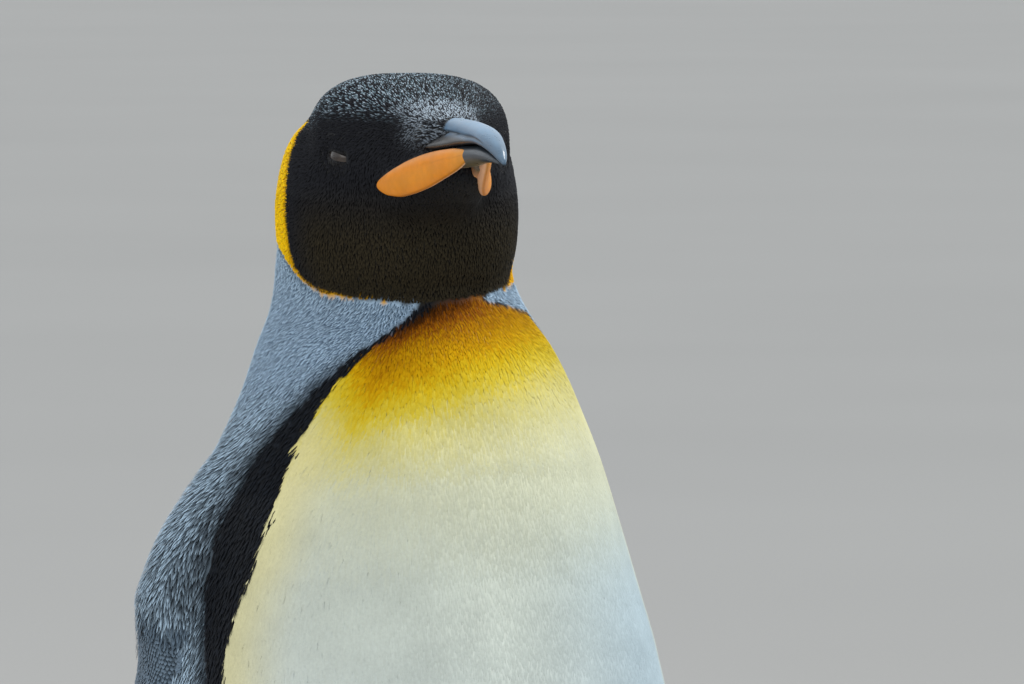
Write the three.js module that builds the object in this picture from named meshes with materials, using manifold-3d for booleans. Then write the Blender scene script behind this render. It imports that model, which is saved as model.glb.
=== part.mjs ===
// King penguin, standing at rest with its neck drawn in and its head turned a little to its own right.
// Millimetres. +Z is up, the breast faces -Y, and the bird's right side is -X. The floor is z = 0.

import * as THREE from "three";
import { mergeVertices } from "three/addons/utils/BufferGeometryUtils.js";
import Module from "manifold-3d";

const wasm = await Module();
wasm.setup();

// ---------------------------------------------------------------- driving dimensions

const GAP = 0.3; // clearance between neighbouring solids
const FLATNESS = 0.13; // how far a merged flat spot may lie from the drawn form
const NECK_FOOT = 655; // height where the trunk hands over to the neck

const HEAD_PLACE = new THREE.Vector3(-6, -16, 0); // centre of the skull over the floor
const HEAD_TURN = THREE.MathUtils.degToRad(14); // towards the bird's right

const EYE_RADIUS = 8.8;
const EYE_FORWARD = 29;
const EYE_OUT = 34.6; // outermost point of the eyeball from the middle of the head
const EYE_HEIGHT = 754;
const EYE_AIM = new THREE.Vector3(0.42, 0.9, 0.1).normalize(); // forward, outward, up
const LID_OPENING = 6.2; // radius of the opening in the face over the eyeball

const RAMUS_THICKNESS = 5;
const PLATE_THICKNESS = 3.4;

const FLIPPER_LEAN = THREE.MathUtils.degToRad(14); // hind edge turned in towards the back

const LEG_OUT = 47;
const LEG_BACK = 16;
const LEG_TOP = 74;
const LEG_FOOT = 22;
const LEG_HALF_WIDTH = 19;
const LEG_HALF_DEPTH = 23;

const FOOT_TURN = THREE.MathUtils.degToRad(10); // toes outward
const TOE_RADIUS = 8.5;
const SOLE_CUT = 2.2; // how much of each toe's round underside is flattened on the floor
const WEB_THICKNESS = 4.5;

const TOES = [
  { name: "inner", turn: -23, length: 66, claw: 19 },
  { name: "middle", turn: 0, length: 84, claw: 22 },
  { name: "outer", turn: 19, length: 76, claw: 18 },
];
const HALLUX = { name: "hallux", turn: -62, length: 15, claw: 8, start: 12, rise: 10 };

// ---------------------------------------------------------------- stations of the larger forms

// Trunk and neck, by height: half width, and how far the breast (front) and the back reach along Y.
const BODY = [
  { at: 38, side: 20, front: 6, back: 46 },
  { at: 43, side: 42, front: -14, back: 68 },
  { at: 58, side: 65, front: -40, back: 88 },
  { at: 90, side: 86, front: -65, back: 104 },
  { at: 130, side: 103, front: -87, back: 115 },
  { at: 185, side: 118, front: -108, back: 121 },
  { at: 250, side: 127, front: -122, back: 122 },
  { at: 320, side: 129, front: -128, back: 118 },
  { at: 395, side: 125, front: -127, back: 110 },
  { at: 465, side: 116, front: -120.5, back: 101 },
  { at: 535, side: 106, front: -112.5, back: 92.5 },
  { at: 585, side: 92.5, front: -100, back: 83 },
  { at: 630, side: 78.5, front: -90.5, back: 71.5 },
  { at: 648, side: 71, front: -85, back: 63 },
  { at: 665, side: 63, front: -78, back: 61.5 },
  { at: 680, side: 55.5, front: -69.5, back: 60.5 },
  { at: 693, side: 47.5, front: -57, back: 60 },
  { at: 708, side: 46, front: -49, back: 59 },
  { at: 725, side: 43, front: -44, back: 55 },
  { at: 740, side: 38, front: -38, back: 48 },
  { at: 753, side: 30, front: -28, back: 39 },
  { at: 762, side: 16, front: -12, back: 25 },
];

// Skull and feathered bill base, by distance forward of the head's centre.
const SKULL = [
  { at: -45, side: 14, top: 761, bottom: 737 },
  { at: -40, side: 22.5, top: 768, bottom: 728 },
  { at: -30, side: 32, top: 775.5, bottom: 719 },
  { at: -14, side: 38.2, top: 783, bottom: 713 },
  { at: 0, side: 40.5, top: 786.5, bottom: 713 },
  { at: 15, side: 41.5, top: 786.5, bottom: 719 },
  { at: 30, side: 36.8, top: 784.2, bottom: 727 },
  { at: 45, side: 28.2, top: 780.8, bottom: 735 },
  { at: 58, side: 20.6, top: 777.6, bottom: 742 },
  { at: 68, side: 16.8, top: 775, bottom: 748 },
  { at: 78, side: 14.6, top: 773.4, bottom: 753.5 },
  { at: 88, side: 12, top: 772.4, bottom: 757 },
];

// Cheeks and throat below the skull, by height: half width, reach ahead of and behind the centre, and
// where between them the section is widest.
const THROAT = [
  { at: 692, side: 26, front: 22, back: -34, widest: -8 },
  { at: 695.5, side: 38, front: 34, back: -43, widest: -10 },
  { at: 703, side: 45.6, front: 42, back: -49, widest: -12 },
  { at: 715, side: 49, front: 46.5, back: -52, widest: -14 },
  { at: 730, side: 49.8, front: 48, back: -52, widest: -14 },
  { at: 746, side: 48.2, front: 37, back: -50, widest: -12 },
  { at: 755, side: 46, front: 27, back: -48.5, widest: -10 },
  { at: 763, side: 41.5, front: 17, back: -44, widest: -8 },
  { at: 770, side: 32, front: 8, back: -34, widest: -7 },
  { at: 774, side: 20, front: 3, back: -22, widest: -6 },
];

// Feathered chin that fills the space between the two halves of the lower bill.
const CHIN = [
  { at: 30, side: 24, top: 750, bottom: 720 },
  { at: 50, side: 21, top: 753, bottom: 727 },
  { at: 60, side: 18.6, top: 754, bottom: 731.5 },
  { at: 75, side: 15, top: 755, bottom: 737.5 },
  { at: 90, side: 11, top: 757, bottom: 743.5 },
  { at: 101, side: 7, top: 758, bottom: 749 },
];

// Upper bill: level along the ridge and then curved down to the tip.
const UPPER_BILL = [
  { at: 64, side: 15, top: 769.6, bottom: 756.2 },
  { at: 80, side: 14.2, top: 771.2, bottom: 758.2 },
  { at: 90, side: 13, top: 771.7, bottom: 759.7 },
  { at: 100, side: 10.8, top: 771.9, bottom: 761 },
  { at: 110, side: 8.8, top: 771.9, bottom: 762 },
  { at: 120, side: 7.4, top: 771.8, bottom: 763 },
  { at: 138, side: 5.5, top: 770.8, bottom: 763.4 },
  { at: 150, side: 4.4, top: 768.8, bottom: 762.4 },
  { at: 160, side: 3.2, top: 765.8, bottom: 760.4 },
  { at: 167, side: 2, top: 762.4, bottom: 758.2 },
  { at: 171, side: 0.7, top: 759, bottom: 756.8 },
];

// Front of the lower bill, where its two halves have joined.
const LOWER_TIP = [
  { at: 100, side: 9.4, top: 760.4, bottom: 752.2 },
  { at: 118, side: 6.8, top: 762.3, bottom: 753.6 },
  { at: 138, side: 4.8, top: 762.8, bottom: 756 },
  { at: 150, side: 3.7, top: 761.8, bottom: 756.8 },
  { at: 159, side: 2.5, top: 760, bottom: 757 },
  { at: 165, side: 1, top: 758.2, bottom: 756.8 },
];

// Right half of the lower bill: its outer face drawn in plan, and its top and bottom edges.
const RAMUS = [
  { at: 42, out: 22, top: 749, bottom: 740 },
  { at: 60, out: 18.8, top: 752, bottom: 740.8 },
  { at: 85, out: 12, top: 757, bottom: 745.6 },
  { at: 110, out: 7.4, top: 761, bottom: 751.8 },
];

// Coloured plate on the outside of each half of the lower bill.
const PLATE = [
  { at: 49.8, out: 24, top: 744.1, bottom: 741.8, share: 0.5 },
  { at: 52, out: 23.8, top: 745.3, bottom: 741.1, share: 0.75 },
  { at: 55, out: 23.2, top: 746.8, bottom: 740.2, share: 0.95 },
  { at: 60, out: 22.2, top: 748.9, bottom: 739.4, share: 1 },
  { at: 67.5, out: 20.2, top: 751.7, bottom: 739.3, share: 1 },
  { at: 75, out: 17.8, top: 754.3, bottom: 740.4, share: 1 },
  { at: 90, out: 14, top: 757.8, bottom: 743.9, share: 1 },
  { at: 105, out: 11, top: 759.9, bottom: 748.4, share: 0.95 },
  { at: 118, out: 8.6, top: 760.9, bottom: 752.6, share: 0.8 },
  { at: 126, out: 7.1, top: 761, bottom: 756.6, share: 0.6 },
  { at: 131, out: 6.2, top: 760.4, bottom: 758.6, share: 0.4 },
];

// Left flipper, by height: middle of its section, fore-and-aft width and thickness.
const FLIPPER = [
  { at: 640, out: 67, y: 9, chord: 20, thick: 10 },
  { at: 625, out: 73.5, y: 12, chord: 36, thick: 21 },
  { at: 610, out: 80.3, y: 14.5, chord: 46, thick: 27 },
  { at: 587, out: 90.6, y: 18, chord: 52, thick: 30 },
  { at: 565, out: 97, y: 20, chord: 54, thick: 23 },
  { at: 545, out: 98.8, y: 20.5, chord: 56, thick: 16 },
  { at: 520, out: 103.8, y: 20.5, chord: 62, thick: 13 },
  { at: 495, out: 113.5, y: 21, chord: 68, thick: 12 },
  { at: 455, out: 125.5, y: 22.5, chord: 76, thick: 11 },
  { at: 405, out: 134, y: 24, chord: 77, thick: 10 },
  { at: 355, out: 139.5, y: 27, chord: 68, thick: 8.6 },
  { at: 318, out: 142, y: 31, chord: 53, thick: 7.4 },
  { at: 292, out: 143.5, y: 36, chord: 35, thick: 6.2 },
  { at: 279, out: 144, y: 41, chord: 14, thick: 5 },
];

// Tail, by distance along its length from inside the rump to the tip on the floor.
const TAIL = [
  { at: 0, y: 74, z: 88, side: 30, thick: 30 },
  { at: 40, y: 106, z: 59, side: 39, thick: 27 },
  { at: 72, y: 131, z: 35, side: 38, thick: 17 },
  { at: 102, y: 153, z: 14.5, side: 32, thick: 9 },
  { at: 126, y: 172, z: 2.4, side: 23, thick: 5.4 },
  { at: 140, y: 184, z: 2, side: 11, thick: 4.4 },
];

// ---------------------------------------------------------------- shaping helpers

// Value of a named field between stations, on a smooth curve through them.
function between(stations, field, at) {
  const last = stations.length - 1;
  let low = 0;
  while (low < last - 1 && at > stations[low + 1].at) low += 1;
  if (stations[0].at > stations[last].at) {
    low = 0;
    while (low < last - 1 && at < stations[low + 1].at) low += 1;
  }
  const slope = (a, b) => (stations[b][field] - stations[a][field]) / (stations[b].at - stations[a].at);
  const middle = slope(low, low + 1);
  const tangent = (i) => {
    if (i === 0 || i === last) return middle;
    const before = slope(i - 1, i);
    const after = slope(i, i + 1);
    return before * after > 0 ? (2 * before * after) / (before + after) : 0;
  };
  const span = stations[low + 1].at - stations[low].at;
  const t = (at - stations[low].at) / span;
  const startShare = (1 + 2 * t) * (1 - t) ** 2;
  const endShare = t * t * (3 - 2 * t);
  const start = startShare * stations[low][field] + t * (1 - t) ** 2 * span * tangent(low);
  return start + endShare * stations[low + 1][field] + t * t * (t - 1) * span * tangent(low + 1);
}

// Evenly eased positions from the first station to the last, closer together near both ends.
function positions(stations, count) {
  const first = stations[0].at;
  const reach = stations[stations.length - 1].at - first;
  return Array.from({ length: count }, (_, i) => {
    const t = i / (count - 1);
    const eased = 0.55 * t + 0.45 * 0.5 * (1 - Math.cos(Math.PI * t));
    return first + reach * eased;
  });
}

// One closed section: a rounded outline that reaches right, left, up and down by its own amounts.
function outline(sides, extent, squareness = 2) {
  return Array.from({ length: sides }, (_, i) => {
    const angle = (2 * Math.PI * i) / sides;
    const across = Math.sign(Math.cos(angle)) * Math.abs(Math.cos(angle)) ** (2 / squareness);
    const upward = Math.sign(Math.sin(angle)) * Math.abs(Math.sin(angle)) ** (2 / squareness);
    const x = across * (across > 0 ? extent.right : extent.left);
    const y = extent.middle + upward * (upward > 0 ? extent.up : extent.down);
    return [x, y];
  });
}

// Closed skin over a stack of rings with equal numbers of points, with a flat or blunt cap at each end.
function loft(rings) {
  const sides = rings[0].length;
  const points = rings.flat();
  const middle = (ring) => ring.reduce((sum, p) => sum.add(p), new THREE.Vector3()).divideScalar(sides);
  points.push(middle(rings[0]), middle(rings[rings.length - 1]));
  const faces = [];
  for (let r = 0; r + 1 < rings.length; r += 1) {
    for (let i = 0; i < sides; i += 1) {
      const j = (i + 1) % sides;
      const [a, b] = [r * sides + i, r * sides + j];
      faces.push(a, b, b + sides, a, b + sides, a + sides);
    }
  }
  const top = (rings.length - 1) * sides;
  for (let i = 0; i < sides; i += 1) {
    const j = (i + 1) % sides;
    faces.push(points.length - 2, j, i, points.length - 1, top + i, top + j);
  }
  return facingOut(geometryOf(points.flatMap((p) => p.toArray()), faces));
}

function geometryOf(coordinates, faces) {
  const geometry = new THREE.BufferGeometry();
  geometry.setAttribute("position", new THREE.Float32BufferAttribute(coordinates, 3));
  geometry.setIndex(faces);
  return geometry;
}

function signedVolume(geometry) {
  const place = geometry.getAttribute("position");
  const corner = (i) => new THREE.Vector3().fromBufferAttribute(place, geometry.index.array[i]);
  let volume = 0;
  for (let i = 0; i < geometry.index.count; i += 3) {
    volume += corner(i).dot(corner(i + 1).cross(corner(i + 2))) / 6;
  }
  return volume;
}

function facingOut(geometry) {
  if (signedVolume(geometry) > 0) return geometry;
  const faces = Array.from(geometry.index.array);
  for (let i = 0; i < faces.length; i += 3) {
    [faces[i], faces[i + 1]] = [faces[i + 1], faces[i]];
  }
  geometry.setIndex(faces);
  return geometry;
}

// The same form with each shared point stored once and nothing but its place kept.
function bare(geometry) {
  const copy = geometry.clone();
  copy.deleteAttribute("normal");
  copy.deleteAttribute("uv");
  return mergeVertices(copy, 1e-4);
}

// The same form, larger all round by a margin.
function grown(geometry, margin) {
  const copy = bare(geometry);
  copy.computeVertexNormals();
  const place = copy.getAttribute("position");
  const normal = copy.getAttribute("normal");
  for (let i = 0; i < place.count; i += 1) {
    const moved = new THREE.Vector3().fromBufferAttribute(place, i);
    moved.addScaledVector(new THREE.Vector3().fromBufferAttribute(normal, i), margin);
    place.setXYZ(i, moved.x, moved.y, moved.z);
  }
  copy.deleteAttribute("normal");
  return copy;
}

// A geometry as a manifold-3d solid.
function solid(geometry) {
  const merged = bare(geometry);
  const vertProperties = new Float32Array(merged.getAttribute("position").array);
  const triVerts = new Uint32Array(merged.index.array);
  return new wasm.Manifold(new wasm.Mesh({ numProp: 3, vertProperties, triVerts }));
}

// A manifold-3d solid as a geometry.
function surface(whole) {
  const mesh = whole.getMesh();
  return geometryOf(Array.from(mesh.vertProperties), Array.from(mesh.triVerts));
}

function joined(...geometries) {
  return geometries.map(solid).reduce((whole, piece) => whole.add(piece));
}

// A solid with room cut in it for each of its neighbours.
function fittedAround(whole, ...neighbours) {
  const cut = neighbours.reduce((rest, other) => rest.subtract(solid(grown(other, GAP))), whole);
  return surface(cut.simplify(FLATNESS));
}

function mirrored(geometry) {
  return facingOut(geometry.clone().scale(-1, 1, 1));
}

// ---------------------------------------------------------------- trunk, neck and head

// Part of the body between two heights, with flat ends.
function bodyPart(low, high, rows, sides) {
  return loft(
    Array.from({ length: rows }, (_, i) => {
      const height = low + ((high - low) * i) / (rows - 1);
      const front = between(BODY, "front", height);
      const back = between(BODY, "back", height);
      const side = between(BODY, "side", height);
      const middle = (front + back) / 2;
      const extent = { right: side, left: side, middle, up: back - middle, down: middle - front };
      return outline(sides, extent, 2.08).map(([x, y]) => new THREE.Vector3(x, y, height));
    }),
  );
}

// A point given forward, to the bird's left and up from the head's own centre.
function inHead(forward, left, height) {
  const point = new THREE.Vector3(left, -forward, height);
  return point.applyAxisAngle(new THREE.Vector3(0, 0, 1), -HEAD_TURN).add(HEAD_PLACE);
}

// Form drawn by sections across the head's forward direction, mirrored left and right.
function headForm(stations, rows, sides, squareness) {
  return loft(
    positions(stations, rows).map((forward) => {
      const top = between(stations, "top", forward);
      const bottom = between(stations, "bottom", forward);
      const side = between(stations, "side", forward);
      const middle = (top + bottom) / 2;
      const extent = { right: side, left: side, middle, up: top - middle, down: middle - bottom };
      return outline(sides, extent, squareness).map(([x, z]) => inHead(forward, x, z));
    }),
  );
}

// Form drawn by level sections, mirrored left and right of the head's forward direction.
function throatForm(stations, rows, sides) {
  return loft(
    positions(stations, rows).map((height) => {
      const middle = between(stations, "widest", height);
      const side = between(stations, "side", height);
      const up = between(stations, "front", height) - middle;
      const down = middle - between(stations, "back", height);
      const extent = { right: side, left: side, middle, up, down };
      return outline(sides, extent, 2.1).map(([x, forward]) => inHead(forward, x, height));
    }),
  );
}

// Bar or plate on one side of the lower bill. The side is +1 for the bird's left.
function sideBar(stations, thickness, rows, side) {
  return loft(
    positions(stations, rows).map((forward) => {
      const top = between(stations, "top", forward);
      const bottom = between(stations, "bottom", forward);
      const share = stations[0].share ? between(stations, "share", forward) : 1;
      const half = (thickness * share) / 2;
      const out = between(stations, "out", forward) - thickness / 2;
      const middle = (top + bottom) / 2;
      const extent = { right: half, left: half, middle, up: top - middle, down: middle - bottom };
      return outline(10, extent, 2.4).map(([x, z]) => inHead(forward, side * (out + x), z));
    }),
  );
}

function eyeball(side) {
  const centre = inHead(
    EYE_FORWARD - EYE_RADIUS * EYE_AIM.x,
    side * (EYE_OUT - EYE_RADIUS * EYE_AIM.y),
    EYE_HEIGHT - EYE_RADIUS * EYE_AIM.z,
  );
  return new THREE.SphereGeometry(EYE_RADIUS, 16, 10).translate(centre.x, centre.y, centre.z);
}

// Space in front of the eyeball, from its middle out through the face.
function lidOpening(side) {
  const at = (depth) =>
    inHead(
      EYE_FORWARD + depth * EYE_AIM.x,
      side * (EYE_OUT + depth * EYE_AIM.y),
      EYE_HEIGHT + depth * EYE_AIM.z,
    );
  const [inner, outer] = [at(-EYE_RADIUS), at(EYE_RADIUS)];
  const length = inner.distanceTo(outer);
  const tube = new THREE.CylinderGeometry(LID_OPENING, LID_OPENING, length, 14);
  const turn = new THREE.Quaternion().setFromUnitVectors(
    new THREE.Vector3(0, 1, 0),
    outer.clone().sub(inner).normalize(),
  );
  const middle = inner.add(outer).divideScalar(2);
  return tube.applyQuaternion(turn).translate(middle.x, middle.y, middle.z);
}

// ---------------------------------------------------------------- flippers, tail and legs

// Left flipper: rounded front edge, thin hind edge, hanging along the side.
function flipper() {
  const lengthways = positions(FLIPPER, 14);
  return loft(
    lengthways.map((height) => {
      const chord = between(FLIPPER, "chord", height);
      const thick = between(FLIPPER, "thick", height);
      const out = between(FLIPPER, "out", height);
      const y = between(FLIPPER, "y", height);
      const extent = { right: chord / 2, left: chord / 2, middle: 0, up: thick / 2, down: thick / 2 };
      return outline(16, extent, 2).map(([along, across]) => {
        const taper = 1 - 0.32 * (along / (chord / 2));
        const face = across * taper;
        const x = out + face * Math.cos(FLIPPER_LEAN) - along * Math.sin(FLIPPER_LEAN);
        return new THREE.Vector3(x, y + along * Math.cos(FLIPPER_LEAN) + face * Math.sin(FLIPPER_LEAN), height);
      });
    }),
  );
}

// Stiff wedge of tail feathers that leans on the floor behind the feet.
function tail() {
  const path = positions(TAIL, 9).map((along) => ({
    y: between(TAIL, "y", along),
    z: between(TAIL, "z", along),
    side: between(TAIL, "side", along),
    thick: between(TAIL, "thick", along),
  }));
  return loft(
    path.map((here, i) => {
      const next = path[Math.min(i + 1, path.length - 1)];
      const last = path[Math.max(i - 1, 0)];
      const slant = Math.atan2(next.z - last.z, next.y - last.y);
      const half = here.thick / 2;
      const extent = { right: here.side, left: here.side, middle: 0, up: half, down: half };
      return outline(14, extent, 2.2).map(([x, lift]) => {
        const z = Math.max(0, here.z + lift * Math.cos(slant));
        return new THREE.Vector3(x, here.y - lift * Math.sin(slant), z);
      });
    }),
  );
}

// Short feathered shank between the belly and the left foot.
function leg() {
  const rows = [LEG_FOOT, 27, 40, 60, LEG_TOP];
  return loft(
    rows.map((height) => {
      const spread = 0.78 + (0.5 * (height - LEG_FOOT)) / (LEG_TOP - LEG_FOOT);
      const deep = LEG_HALF_DEPTH * spread;
      const wide = LEG_HALF_WIDTH * spread;
      const extent = { right: wide, left: wide, middle: LEG_BACK, up: deep, down: deep };
      return outline(14, extent).map(([x, y]) => new THREE.Vector3(LEG_OUT + x, y, height));
    }),
  );
}

// A point on the left foot: forward of the ankle, towards the outside, and up.
function onFoot(forward, outward, height) {
  const point = new THREE.Vector3(outward, -forward, height);
  return point.applyAxisAngle(new THREE.Vector3(0, 0, 1), FOOT_TURN).add(new THREE.Vector3(LEG_OUT, LEG_BACK, 0));
}

// Direction of a toe, as forward and outward shares.
function toeAim(toe) {
  const turn = THREE.MathUtils.degToRad(toe.turn);
  return [Math.cos(turn), Math.sin(turn)];
}

// Rounded bar from one distance to another along a toe, flattened on the floor.
function toeBar(toe, stations, sides) {
  const [ahead, aside] = toeAim(toe);
  const rise = toe.rise ?? 0;
  return loft(
    stations.map(({ at, wide, low, high }) => {
      const middle = (low + high) / 2;
      const extent = { right: wide, left: wide, middle, up: high - middle, down: middle - low };
      return outline(sides, extent, 2.2).map(([across, z]) => {
        const height = Math.max(0, z + rise);
        return onFoot(at * ahead - across * aside, at * aside + across * ahead, height);
      });
    }),
  );
}

function toe(shape) {
  const size = shape.rise ? 0.62 : 1;
  const low = -SOLE_CUT * size;
  const start = shape.start ?? -4;
  const reach = shape.length;
  const knuckle = (share, wide, high) => ({
    at: start + (reach - start) * share,
    wide: TOE_RADIUS * wide * size,
    low,
    high: high * size,
  });
  const stations = [
    knuckle(0, 1.15, 20),
    knuckle(0.22, 1.12, 20.5),
    knuckle(0.42, 0.92, 15.5),
    knuckle(0.6, 1, 14.5),
    knuckle(0.78, 0.86, 12),
    knuckle(0.92, 0.88, 11.5),
    knuckle(1, 0.62, 9.5),
  ];
  return toeBar(shape, stations, 10);
}

// Horn claw, curved down from inside the end of its toe.
function claw(shape) {
  const size = shape.rise ? 0.55 : 1;
  const root = shape.length - 5 * size;
  const station = (share, wide, low, high) => ({
    at: root + (shape.claw + 5) * size * share,
    wide: wide * size,
    low: low * size,
    high: high * size,
  });
  const stations = [
    station(0, 3.1, 2.6, 8.4),
    station(0.25, 3.2, 2.3, 8.8),
    station(0.55, 2.6, 1.7, 7.6),
    station(0.8, 1.7, 1, 5),
    station(1, 0.5, 0.6, 1.8),
  ];
  return toeBar(shape, stations, 8);
}

// Web between the toes: a thin skin from the ankle to near the toe ends, scalloped between them.
function web() {
  const [inner, middle, outer] = TOES.map((shape) => {
    const [ahead, aside] = toeAim(shape);
    return new THREE.Vector2(ahead, aside).multiplyScalar(shape.length - 7);
  });
  const edge = new THREE.Shape();
  edge.moveTo(-6, 0);
  edge.lineTo(inner.x, inner.y);
  edge.quadraticCurveTo(inner.x + 4, inner.y * 0.5, middle.x, middle.y);
  edge.quadraticCurveTo(outer.x + 4, outer.y * 0.5, outer.x, outer.y);
  edge.closePath();
  const plate = new THREE.ExtrudeGeometry(edge, { depth: WEB_THICKNESS, bevelEnabled: false, curveSegments: 6 });
  const place = plate.getAttribute("position");
  for (let i = 0; i < place.count; i += 1) {
    const point = onFoot(place.getX(i), place.getY(i), place.getZ(i));
    place.setXYZ(i, point.x, point.y, point.z);
  }
  return facingOut(bare(plate));
}

// Heel pad and ankle over the roots of the toes.
function heel() {
  const rows = [
    { height: 0, grow: 0.82 },
    { height: 5, grow: 1 },
    { height: 14, grow: 0.98 },
    { height: LEG_FOOT - GAP, grow: 0.84 },
  ];
  return loft(
    rows.map(({ height, grow }) => {
      const extent = { right: 17 * grow, left: 16 * grow, middle: 0, up: 18 * grow, down: 24 * grow };
      return outline(14, extent).map(([outward, forward]) => onFoot(forward, outward, height));
    }),
  );
}

// ---------------------------------------------------------------- colours

const PAINT = {
  white: { color: 0xe4e4da, roughness: 0.75 },
  slate: { color: 0x5f6c78, roughness: 0.7 },
  silver: { color: 0x8e9ba8, roughness: 0.7 },
  black: { color: 0x14161a, roughness: 0.6 },
  horn: { color: 0x4b5663, roughness: 0.32 },
  orange: { color: 0xe39a45, roughness: 0.42 },
  eye: { color: 0x4a4038, roughness: 0.12 },
  foot: { color: 0x1d1d1f, roughness: 0.6 },
  claw: { color: 0x2a2624, roughness: 0.4 },
};

const penguin = new THREE.Group();

function add(name, geometry, paint) {
  const material = new THREE.MeshStandardMaterial({ ...PAINT[paint], metalness: 0 });
  const mesh = new THREE.Mesh(geometry, material);
  mesh.name = name;
  penguin.add(mesh);
}

// ---------------------------------------------------------------- assembly

const trunkForm = bodyPart(BODY[0].at, NECK_FOOT - GAP / 2, 26, 30);
const neckForm = bodyPart(NECK_FOOT + GAP / 2, BODY[BODY.length - 1].at, 11, 30);

const upperBill = headForm(UPPER_BILL, 13, 12, 1.75);
const eyes = { right: eyeball(-1), left: eyeball(1) };
const plates = { right: sideBar(PLATE, PLATE_THICKNESS, 12, -1), left: sideBar(PLATE, PLATE_THICKNESS, 12, 1) };
const lowerBillForms = [
  sideBar(RAMUS, RAMUS_THICKNESS, 7, -1),
  sideBar(RAMUS, RAMUS_THICKNESS, 7, 1),
  headForm(LOWER_TIP, 7, 10, 2.1),
];
const lowerBill = fittedAround(joined(...lowerBillForms), upperBill, plates.right, plates.left);

const skullForm = headForm(SKULL, 16, 26, 2.95);
const throat = throatForm(THROAT, 11, 28);
const head = fittedAround(
  joined(skullForm, throat, headForm(CHIN, 6, 14, 2.9)),
  upperBill,
  ...lowerBillForms,
  plates.right,
  plates.left,
  eyes.right,
  eyes.left,
  lidOpening(-1),
  lidOpening(1),
);
const neck = fittedAround(solid(neckForm), skullForm, throat);

add("trunk", trunkForm, "white");
add("neck", neck, "silver");
add("head", head, "black");
add("bill_upper", upperBill, "horn");
add("bill_lower", lowerBill, "horn");
add("plate_right", plates.right, "orange");
add("plate_left", plates.left, "orange");
add("eye_right", eyes.right, "eye");
add("eye_left", eyes.left, "eye");
add("tail", fittedAround(solid(tail()), trunkForm), "slate");

const leftClaws = [...TOES, HALLUX].map((shape) => ({ name: shape.name, form: claw(shape) }));
const leftFoot = fittedAround(
  joined(heel(), web(), ...TOES.map(toe), toe(HALLUX)),
  ...leftClaws.map(({ form }) => form),
);
const leftLeg = fittedAround(solid(leg()), trunkForm, toe(HALLUX));
const leftFlipper = fittedAround(solid(flipper()), trunkForm);

const sides = [
  { name: "left", turned: (geometry) => geometry },
  { name: "right", turned: mirrored },
];
for (const { name, turned } of sides) {
  add(`flipper_${name}`, turned(leftFlipper), "slate");
  add(`leg_${name}`, turned(leftLeg), "white");
  add(`foot_${name}`, turned(leftFoot), "foot");
  for (const { name: toeName, form } of leftClaws) {
    add(`claw_${toeName}_${name}`, turned(form), "claw");
  }
}

export default penguin;
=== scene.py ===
"""King penguin in its natural stance: one skin, a coat of feathers, bill, eyes and claws.

Metres. +Z is up, the breast faces -Y, and the bird's right side is -X. The floor is z = 0.
"""

import math

import bmesh
import bpy
import numpy as np
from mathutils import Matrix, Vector
from mathutils.bvhtree import BVHTree
from mathutils.kdtree import KDTree


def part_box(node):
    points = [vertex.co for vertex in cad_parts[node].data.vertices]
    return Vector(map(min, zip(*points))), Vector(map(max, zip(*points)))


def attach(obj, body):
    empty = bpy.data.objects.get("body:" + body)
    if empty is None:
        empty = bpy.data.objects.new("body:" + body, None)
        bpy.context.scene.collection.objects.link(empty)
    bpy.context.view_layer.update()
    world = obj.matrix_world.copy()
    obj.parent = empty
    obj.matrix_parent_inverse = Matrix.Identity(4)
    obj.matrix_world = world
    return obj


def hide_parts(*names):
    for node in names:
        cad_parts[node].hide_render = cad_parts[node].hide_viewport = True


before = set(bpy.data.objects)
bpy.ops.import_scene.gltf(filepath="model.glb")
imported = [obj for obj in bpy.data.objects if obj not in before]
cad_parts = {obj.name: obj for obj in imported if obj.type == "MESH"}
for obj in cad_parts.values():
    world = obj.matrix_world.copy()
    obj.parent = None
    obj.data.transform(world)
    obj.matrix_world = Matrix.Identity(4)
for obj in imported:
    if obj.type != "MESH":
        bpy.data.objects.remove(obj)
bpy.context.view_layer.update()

MM = 0.001
UP = np.array([0.0, 0.0, 1.0])

# ------------ camera

CAMERA_TARGET = Vector((0.0411, -0.0218, 0.6752))
CAMERA_AZIMUTH = math.radians(-28)
CAMERA_ELEVATION = math.radians(4)
CAMERA_DISTANCE = 4.0
CAMERA_LENS = 344.5
SENSOR_WIDTH = 36
FAR_CLIP = 400
LEVEL_BACK = Vector((math.sin(CAMERA_AZIMUTH), -math.cos(CAMERA_AZIMUTH), 0))
CAMERA_BACK = Vector(
    (
        math.sin(CAMERA_AZIMUTH) * math.cos(CAMERA_ELEVATION),
        -math.cos(CAMERA_AZIMUTH) * math.cos(CAMERA_ELEVATION),
        math.sin(CAMERA_ELEVATION),
    )
)
CAMERA_RIGHT = Vector((math.cos(CAMERA_AZIMUTH), math.sin(CAMERA_AZIMUTH), 0))


def aimed(spot, target):
    return (target - spot).to_track_quat("-Z", "Y").to_euler()


def make_camera():
    data = bpy.data.cameras.new("camera")
    data.lens = CAMERA_LENS
    data.sensor_width = SENSOR_WIDTH
    data.clip_end = FAR_CLIP
    camera = bpy.data.objects.new("camera", data)
    camera.location = CAMERA_TARGET + CAMERA_BACK * CAMERA_DISTANCE
    camera.rotation_euler = aimed(camera.location, CAMERA_TARGET)
    bpy.context.scene.collection.objects.link(camera)
    bpy.context.scene.camera = camera


# ------------ numbers and colours


def paint(code):
    """Linear colour of a six-digit sRGB code."""
    parts = [int(code[i : i + 2], 16) / 255 for i in (0, 2, 4)]
    return np.array([c / 12.92 if c <= 0.04045 else ((c + 0.055) / 1.055) ** 2.4 for c in parts])


def eased(x, low, high):
    """0 below low, 1 above high, smooth between. Low may be the larger."""
    t = np.clip((x - low) / (high - low), 0, 1)
    return t * t * (3 - 2 * t)


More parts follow.
